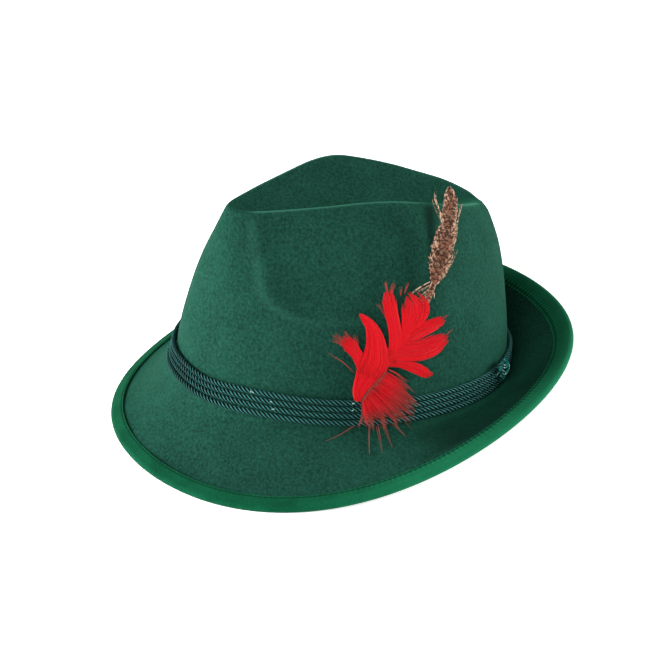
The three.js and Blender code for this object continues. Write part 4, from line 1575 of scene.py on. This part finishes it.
@dataclass
class RedFeather:
    """Tuft of red lobes and down, made of single barbs."""

    length: float = 60.0
    layer: float = 2.05
    places: int = 14
    ridge: float = 0.12
    fan_barbs: int = 640
    fan_bundles: int = 17
    fan_start: tuple[tuple[float, float], ...] = (
        (0.211, 0.321), (0.171, 0.281), (0.125, 0.241), (0.067, 0.191), (0.021, 0.14), (-0.02, 0.068)
    )
    fan_end: tuple[tuple[float, float], ...] = (
        (0.39, 0.18), (0.531, 0.054), (0.529, -0.033), (0.458, -0.147), (0.3, -0.23), (0.01, -0.2)
    )
    locks: tuple[Lock, ...] = (
        Lock(((0.2, 0.42, 0.05), (0.261, 0.4, 0.043), (0.353, 0.382, 0.038), (0.446, 0.348, 0.041),
             (0.539, 0.308, 0.043), (0.621, 0.267, 0.039), (0.686, 0.244, 0.02)), 90, -0.2, Grain.TORN),
        Lock(((0.28, 0.46, 0.06), (0.343, 0.519, 0.052), (0.435, 0.605, 0.058), (0.54, 0.665, 0.064),
             (0.657, 0.705, 0.054), (0.75, 0.738, 0.046), (0.807, 0.736, 0.035)), 130, -0.1, Grain.TORN),
        Lock(((0.2, 0.44, 0.07), (0.262, 0.465, 0.067), (0.342, 0.481, 0.077), (0.447, 0.488, 0.088),
             (0.563, 0.489, 0.088), (0.68, 0.524, 0.086), (0.774, 0.572, 0.068), (0.833, 0.607, 0.04)),
             190, 0.1, Grain.TORN),
        Lock(((0.29, 0.42, 0.05), (0.342, 0.475, 0.047), (0.395, 0.58, 0.045), (0.423, 0.676, 0.053),
             (0.46, 0.749, 0.093), (0.493, 0.823, 0.126), (0.501, 0.887, 0.135), (0.462, 0.965, 0.098),
             (0.416, 1.032, 0.051)), 240, 0.0, Grain.RAGGED, 0.6),
        Lock(((0.27, 0.4, 0.06), (0.296, 0.446, 0.058), (0.312, 0.564, 0.06), (0.303, 0.695, 0.057),
             (0.277, 0.815, 0.054), (0.253, 0.924, 0.057), (0.24, 1.01, 0.06), (0.231, 1.069, 0.045)),
             160, 0.1, Grain.RAGGED, 0.6),
        Lock(((0.043, 0.281, 0.077), (-0.013, 0.393, 0.06), (-0.063, 0.483, 0.052), (-0.114, 0.551, 0.054),
             (-0.164, 0.608, 0.06), (-0.225, 0.65, 0.056)), 240, 0.0, Grain.FLUFFY, 0.32),
        Lock(((0.04, 0.28, 0.12), (0.06, 0.323, 0.128), (0.107, 0.406, 0.13), (0.115, 0.492, 0.11),
             (0.116, 0.578, 0.089), (0.1, 0.665, 0.069), (0.064, 0.753, 0.044), (-0.004, 0.827, 0.026),
             (-0.045, 0.862, 0.008)), 210, 0.3, Grain.SMOOTH),
        Lock(((-0.056, 0.061, 0.021), (-0.056, 0.104, 0.044), (-0.037, 0.179, 0.07), (0.02, 0.261, 0.11),
             (0.077, 0.343, 0.12), (0.169, 0.412, 0.11), (0.285, 0.48, 0.07)), 260, 0.16, Grain.FLUFFY),
    )
    strands: tuple[Strand, ...] = (
        Strand(((-0.088, 0.323), (-0.183, 0.416), (-0.261, 0.465), (-0.338, 0.513)), 3, 0.3, 0.6, 0.9),
        Strand(((0.242, 1.0), (0.225, 1.08), (0.208, 1.14)), 12, 0.22, 1.9, 0.7),
        Strand(((0.265, 1.0), (0.278, 1.07), (0.292, 1.13)), 12, 0.22, 1.9, 0.7),
        Strand(((0.402, 1.02), (0.42, 1.07), (0.445, 1.115)), 7, 0.22, 1.9, 0.7),
        Strand(((0.36, 1.0), (0.36, 1.05), (0.352, 1.09)), 5, 0.22, 1.9, 0.7),
        Strand(((0.225, 0.8), (0.173, 0.91), (0.135, 0.955)), 5, 0.25, 1.4, 0.7),
        Strand(((0.238, 0.331), (0.32, 0.285), (0.375, 0.235), (0.43, 0.19)), 6, 0.3, 2.2, 0.6),
        Strand(((0.76, 0.75), (0.8, 0.78), (0.825, 0.79)), 7, 0.25, 1.9, 0.6),
        Strand(((0.8, 0.6), (0.85, 0.63), (0.875, 0.64)), 5, 0.25, 1.9, 0.6),
        Strand(((-0.12, 0.5), (-0.22, 0.6), (-0.3, 0.645)), 14, 0.22, 1.9, 0.5),
        Strand(((-0.14, 0.56), (-0.22, 0.64), (-0.28, 0.69)), 14, 0.22, 1.9, 0.6),
        Strand(((-0.1, 0.56), (-0.15, 0.65), (-0.18, 0.71)), 14, 0.22, 1.9, 0.6),
        Strand(((-0.05, 0.5), (-0.07, 0.61), (-0.1, 0.68)), 12, 0.22, 1.9, 0.5),
        Strand(((0.0, 0.1), (0.06, -0.06), (0.08, -0.22)), 26, 0.3, 2.0, 0.8),
        Strand(((0.06, 0.1), (0.16, -0.06), (0.2, -0.24)), 26, 0.3, 2.0, 0.8),
        Strand(((0.12, 0.12), (0.26, -0.05), (0.33, -0.22)), 26, 0.3, 2.0, 0.8),
        Strand(((-0.03, 0.08), (-0.02, -0.08), (-0.06, -0.18)), 18, 0.3, 2.0, 0.9),
    )
    hairs: tuple[BrimHair, ...] = (
        BrimHair(((77.2, 0.02), (76.4, 0.205), (75.7, 0.401))),
        BrimHair(((79.5, 0.02), (79.5, 0.212), (79.1, 0.408))),
        BrimHair(((81.9, 0.037), (82.1, 0.219), (82.2, 0.381))),
        BrimHair(((84.3, 0.031), (85.8, 0.164), (86.8, 0.27))),
        BrimHair(((87.6, 0.013), (89.1, 0.095), (89.6, 0.193)), 4, 0.3),
        BrimHair(((73.7, 0.013), (68.4, 0.118), (63.6, 0.189)), 4, 0.3),
    )
    finish: BarbFinish = field(
        default_factory=lambda: BarbFinish("red_barbs", (158, 7, 12), (172, 8, 19), (150, 20, 32), (84, 64, 56))
    )

    def lock_barbs(self, stock: MeshStock, lock: Lock, rng: np.random.Generator) -> None:
        """Adds the barbs of one lock.

        Args:
            stock: Mesh that they join.
            lock: The lock.
            rng: Random numbers.
        """
        rows = np.array(lock.rows) * self.length
        count = lock.barbs
        lean = np.linspace(-1, 1, count) + 0.05 * rng.normal(size=count)
        torn = lock.grain.value
        notches = 0.5 + 0.5 * np.sin(lean * 9.0 + rng.uniform(0, 6))
        end = 1 - torn * (0.45 * notches + 0.55 * rng.uniform(0, 1, count)) - 0.09 * lean**2
        start = rng.uniform(0.0, 0.1, count)
        share = np.linspace(0, 1, self.places)
        t = start[:, None] + (end - start)[:, None] * share[None]
        flat = catmull(rows, t.ravel() * (len(rows) - 1)).reshape(count, self.places, 3)
        run = np.gradient(flat[..., :2], axis=1)
        run = run / np.maximum(np.linalg.norm(run, axis=-1, keepdims=True), 1e-6)
        across = np.stack([-run[..., 1], run[..., 0]], -1)
        bend = (0.08 + 1.2 * torn) * rng.normal(size=(count, 1)) * share[None] ** 3
        half = np.maximum(flat[..., 2], 0.3)
        place = flat[..., :2] + across * (lean[:, None] * half * 0.97 + bend)[..., None]
        dome = 0.16 * (1 - lean[:, None] ** 2) + rng.uniform(-0.1, 0.1, (count, 1))
        paths = PLANE.at(place[..., 0], place[..., 1], self.layer + lock.layer + dome)
        width = lock.width * np.interp(share, [0, 0.15, 0.85, 1], [0.6, 1, 1, 0.2])[None]
        width = width * rng.uniform(0.75, 1.25, (count, 1))
        add_barbs(stock, paths, width, (0.07, self.ridge), rng, t, barb_down=0.0)

    def fan(self, stock: MeshStock, rng: np.random.Generator) -> None:
        """Adds the fan of down behind the stem, close together at its root and loose at its ends."""
        count = self.fan_barbs
        bundle = rng.integers(0, self.fan_bundles, count)
        even = (np.arange(self.fan_bundles) + rng.uniform(0.2, 0.8, self.fan_bundles)) / self.fan_bundles
        middle = even * (len(self.fan_start) - 1)
        where = np.clip(middle[bundle] + rng.uniform(-0.17, 0.17, count), 0, len(self.fan_start) - 1)
        start = catmull(np.array(self.fan_start), where) * self.length
        aim = middle[bundle] + (where - middle[bundle]) * rng.uniform(0.1, 0.9, count) + rng.normal(0, 0.07, count)
        end = catmull(np.array(self.fan_end), np.clip(aim, 0, len(self.fan_end) - 1)) * self.length
        longest = rng.uniform(0.68, 1.15, self.fan_bundles)
        reach = (longest[bundle] * (1 - 0.45 * rng.uniform(0, 1, count) ** 1.5))[:, None]
        end = start + (end - start) * reach
        sag = rng.normal(0, 0.06, (count, 1)) * (end - start)[:, ::-1] * np.array([1, -1])
        share = np.linspace(0, 1, self.places)
        flat = quadratic(start[:, None], ((start + end) / 2 + sag)[:, None], end[:, None], share[None])
        layer = self.layer + rng.uniform(-0.5, 0.7, (count, 1)) + 0 * share[None]
        paths = PLANE.at(flat[..., 0], flat[..., 1], layer)
        width = 0.56 * np.interp(share, [0, 0.3, 0.7, 1], [0.6, 1, 0.5, 0.1])[None]
        width = width * rng.uniform(0.7, 1.2, (count, 1))
        down = np.maximum(np.clip(share[None] * reach * 1.3 - 0.45, 0, 0.85), np.clip(0.8 - share[None] * 7, 0, 1))
        add_barbs(stock, paths, width, (0.25, self.ridge), rng, share * 0.7, barb_down=down)

    def loose(self, stock: MeshStock, rng: np.random.Generator) -> None:
        """Adds the loose barbs of the feather and those that lie on the brim."""
        share = np.linspace(0, 1, self.places)
        for strand in self.strands:
            _, paths, width = strand.lay(self.length, 0.7, self.places, rng)
            down = strand.fade * (0.4 + 0.6 * share)
            add_barbs(stock, paths, width, (0.3, self.ridge), rng, share * 0.7, barb_down=down)
        for hair in self.hairs:
            line = catmull(np.array(hair.line), share * (len(hair.line) - 1))
            surface = FORM.brim_point(line[:, 0], line[:, 1])
            normal = FORM.brim_normal(line[:, 0], line[:, 1])
            lift = 0.5 + 2.6 * (1 - share) ** 2
            middle = surface + normal * lift[:, None]
            drift = rng.normal(size=(hair.barbs, 1, 3)) * 0.42 * (1 - 0.7 * share[None, :, None])
            width = hair.width * np.interp(share, [0, 0.4, 1], [1, 0.8, 0.25])[None]
            down = 0.75 + 0.25 * share
            add_barbs(stock, middle[None] + drift, width, (0.3, self.ridge), rng, share * 0.7, barb_down=down)

    def build(self) -> bpy.types.Object:
        """Builds the feather.

        Returns:
            The piece.
        """
        rng = np.random.default_rng(SEED + 11)
        stock = MeshStock("red_barbs")
        self.fan(stock, rng)
        for lock in self.locks:
            self.lock_barbs(stock, lock, rng)
        self.loose(stock, rng)
        piece = stock.build()
        dress(piece, self.finish.make(), "red_feather", "red_feather")
        return piece


@dataclass
class BrownFeather:
    """Mottled feather: a quill with slanting barbs on both sides."""

    length: float = 114.0
    places: int = 8
    quill_radius: float = 0.45
    vane_barbs: int = 330
    vane_span: tuple[float, float] = (0.28, 0.985)
    barb_length: float = 9.0
    rows: tuple[Vec3, ...] = (
        (-0.005, 0.047, 0.008), (0.063, 0.105, 0.009), (0.13, 0.178, 0.01), (0.245, 0.316, 0.013),
        (0.319, 0.458, 0.014), (0.346, 0.524, 0.018), (0.367, 0.57, 0.015), (0.375, 0.587, 0.026),
        (0.391, 0.63, 0.047), (0.4, 0.672, 0.06), (0.409, 0.715, 0.062), (0.419, 0.758, 0.059),
        (0.432, 0.8, 0.055), (0.443, 0.843, 0.047), (0.451, 0.885, 0.039), (0.454, 0.928, 0.04),
        (0.455, 0.971, 0.034), (0.452, 1.013, 0.023), (0.449, 1.035, 0.007),
    )
    wisps: tuple[Strand, ...] = (
        Strand(((0.41, 0.857), (0.401, 0.9), (0.384, 0.952), (0.369, 0.986), (0.37, 1.02)), 7, 0.3, 0.6),
        Strand(((0.403, 0.883), (0.373, 0.94), (0.357, 0.991)), 4, 0.25, 0.4),
        Strand(((0.41, 0.9), (0.39, 0.93), (0.38, 0.955)), 5, 0.25, 0.4),
        Strand(((0.49, 0.854), (0.5, 0.896), (0.51, 0.934), (0.513, 0.95)), 6, 0.3, 0.5),
        Strand(((0.48, 0.93), (0.492, 0.965), (0.49, 0.995)), 4, 0.28, 0.5),
        Strand(((0.452, 0.648), (0.471, 0.691), (0.49, 0.741)), 4, 0.3, 0.3),
        Strand(((0.47, 0.74), (0.489, 0.8), (0.492, 0.86)), 5, 0.3, 0.3),
        Strand(((0.347, 0.585), (0.307, 0.57), (0.27, 0.55), (0.251, 0.534)), 8, 0.3, 0.8),
        Strand(((0.344, 0.568), (0.312, 0.552), (0.279, 0.532)), 8, 0.3, 0.9),
        Strand(((0.342, 0.55), (0.316, 0.53), (0.298, 0.514)), 7, 0.3, 0.8),
        Strand(((0.335, 0.525), (0.316, 0.505), (0.307, 0.492)), 6, 0.3, 0.8),
        Strand(((0.36, 0.56), (0.372, 0.53), (0.37, 0.5)), 6, 0.3, 0.4),
    )
    finish: MottleFinish = field(default_factory=MottleFinish)

    def build(self) -> bpy.types.Object:
        """Builds the feather.

        Returns:
            The piece.
        """
        rng = np.random.default_rng(SEED + 23)
        rows = np.array(self.rows) * self.length
        stock = MeshStock("mottled_barbs")
        fine = catmull(rows, np.linspace(0, len(rows) - 1, 160))
        quill = PLANE.at(fine[:, 0], fine[:, 1], np.zeros(len(fine)))
        radius = self.quill_radius * np.linspace(1, 0.3, len(fine))
        points, quads, _ = tube(quill, radius, 8, False, face=np.array(PLANE.face))
        stock.add(FORM.to_rest(points), quads, barb_run=0.2, barb_tone=0.3, vane_along=0.0, vane_across=0.0)
        for side in (-1.0, 1.0):
            self.vane(stock, fine, side, rng)
        for wisp in self.wisps:
            flat, paths, width = wisp.lay(self.length, 0.55, self.places, rng)
            add_barbs(stock, paths, width, (0.3, 0.2), rng, 0.9, vane_along=flat[..., 1], vane_across=0.9)
        piece = stock.build()
        dress(piece, self.finish.make(), "brown_feather", "brown_feather")
        return piece

    def vane(self, stock: MeshStock, fine: np.ndarray, side: float, rng: np.random.Generator) -> None:
        """Adds the barbs on one side of the quill.

        Args:
            stock: Mesh that they join.
            fine: Middle line and half width along the feather, in millimetres.
            side: 1 towards the hat's back, -1 towards its front.
            rng: Random numbers.
        """
        step = np.linalg.norm(np.diff(fine[:, :2], axis=0), axis=1)
        run = np.concatenate([[0], np.cumsum(step)])
        total = run[-1]
        count = self.vane_barbs
        at = np.sort(rng.uniform(*self.vane_span, count)) * total
        reach = self.barb_length * rng.uniform(0.8, 1.1, count)
        share = np.linspace(0, 1, self.places)
        end = np.minimum(at + reach, total * 1.01)
        along = at[:, None] + (end - at)[:, None] * share[None] ** 1.15
        middle = np.stack([np.interp(along.ravel(), run, fine[:, k]) for k in range(3)], -1)
        middle = middle.reshape(count, self.places, 3)
        direction = np.stack([np.interp(along.ravel(), run, np.gradient(fine[:, k], run)) for k in range(2)], -1)
        direction = direction.reshape(count, self.places, 2)
        direction = direction / np.linalg.norm(direction, axis=-1, keepdims=True)
        across = np.stack([direction[..., 1], -direction[..., 0]], -1) * side
        fan = share[None] ** 0.75 * rng.uniform(0.82, 1.05, (count, 1))
        place = middle[..., :2] + across * (fan * middle[..., 2])[..., None]
        layer = 0.15 + 0.35 * (1 - share[None]) + rng.uniform(-0.15, 0.15, (count, 1))
        paths = PLANE.at(place[..., 0], place[..., 1], layer)
        width = 0.55 * np.interp(share, [0, 0.7, 1], [1, 1, 0.3])[None] * rng.uniform(0.8, 1.2, (count, 1))
        add_barbs(stock, paths, width, (0.2, 0.25), rng, share, vane_along=along, vane_across=side * fan)


@dataclass(frozen=True)
class Softbox:
    """An area light: degrees round the hat and above the ground, distance and size in metres, power in watts."""

    name: str
    azimuth: float
    elevation: float
    distance: float
    size: float
    power: float

    def place(self) -> bpy.types.Object:
        """Puts the light in the scene."""
        data = bpy.data.lights.new(self.name, "AREA")
        data.shape = "SQUARE"
        data.size = self.size
        data.energy = self.power
        lamp = bpy.data.objects.new(self.name, data)
        away = sight(self.azimuth, self.elevation)
        lamp.location = away * self.distance + Vector((0, 0, 0.05))
        lamp.rotation_mode = "QUATERNION"
        lamp.rotation_quaternion = away.to_track_quat("Z", "Y")
        bpy.context.scene.collection.objects.link(lamp)
        return lamp


@dataclass
class Studio:
    """Floor, lights and camera."""

    azimuth: float = 68.3482
    elevation: float = 29.7659
    roll: float = -5.4138
    target: Vec3 = (-2.1523, -3.4283, 34.8813)
    distance: float = 900.0
    lens: float = 81.267
    sensor: float = 36.0
    sky: float = 0.16
    floor_glow: float = 0.55
    floor_side: float = 4.0
    lights: tuple[Softbox, ...] = (
        Softbox("front_softbox", -16.0, 18.0, 1.5, 0.9, 56.0),
        Softbox("back_softbox", 156.0, 12.0, 1.6, 0.7, 41.0),
        Softbox("fill_softbox", 48.0, 34.0, 1.8, 1.2, 26.0),
    )

    def camera(self) -> bpy.types.Object:
        """Makes the camera at the photograph's viewing angle."""
        a, r = math.radians(self.azimuth), math.radians(self.roll)
        back = sight(self.azimuth, self.elevation)
        level = Vector((math.cos(a), math.sin(a), 0))
        rise = back.cross(level)
        right = level * math.cos(r) + rise * math.sin(r)
        up = rise * math.cos(r) - level * math.sin(r)
        data = bpy.data.cameras.new("photo_camera")
        data.sensor_width = self.sensor
        data.lens = self.lens
        made = bpy.data.objects.new("photo_camera", data)
        made.matrix_world = Matrix.Translation((Vector(self.target) + back * self.distance) * MM) @ Matrix(
            (right, up, back)
        ).transposed().to_4x4()
        bpy.context.scene.collection.objects.link(made)
        bpy.context.scene.camera = made
        return made

    def floor(self) -> bpy.types.Object:
        """Makes the pale floor."""
        stock = MeshStock("floor")
        corners = np.array([(-1, -1, 0), (1, -1, 0), (1, 1, 0), (-1, 1, 0)]) * self.floor_side
        stock.add(corners - UP * 0.0002, np.array([[0, 1, 2, 3]]))
        made = stock.build()
        made.data.materials.append(PlainFinish("pale_floor", (250, 250, 250), 0.9, 20.0, self.floor_glow).make())
        return made

    def build(self) -> None:
        """Builds the floor, the sky and the lights."""
        self.floor()
        world = bpy.data.worlds.new("studio")
        world.use_nodes = True
        ground = world.node_tree.nodes["Background"]
        ground.inputs["Color"].default_value = (1, 1, 1, 1)
        ground.inputs["Strength"].default_value = self.sky
        bpy.context.scene.world = world
        for light in self.lights:
            light.place()
        bpy.context.scene.view_settings.view_transform = "Standard"


def main() -> None:
    """Builds the hat and its studio."""
    logging.basicConfig(level=logging.INFO, format="%(message)s")
    studio = Studio()
    studio.camera()
    FeltBody().build()
    BrimBinding().build()
    cords = HatCords()
    cords.build()
    CordKnot().build(cords)
    PaleSpecks().build(cords)
    RedFeather().build()
    BrownFeather().build()
    studio.build()
    bpy.context.view_layer.update()


if __name__ == "__main__":
    main()
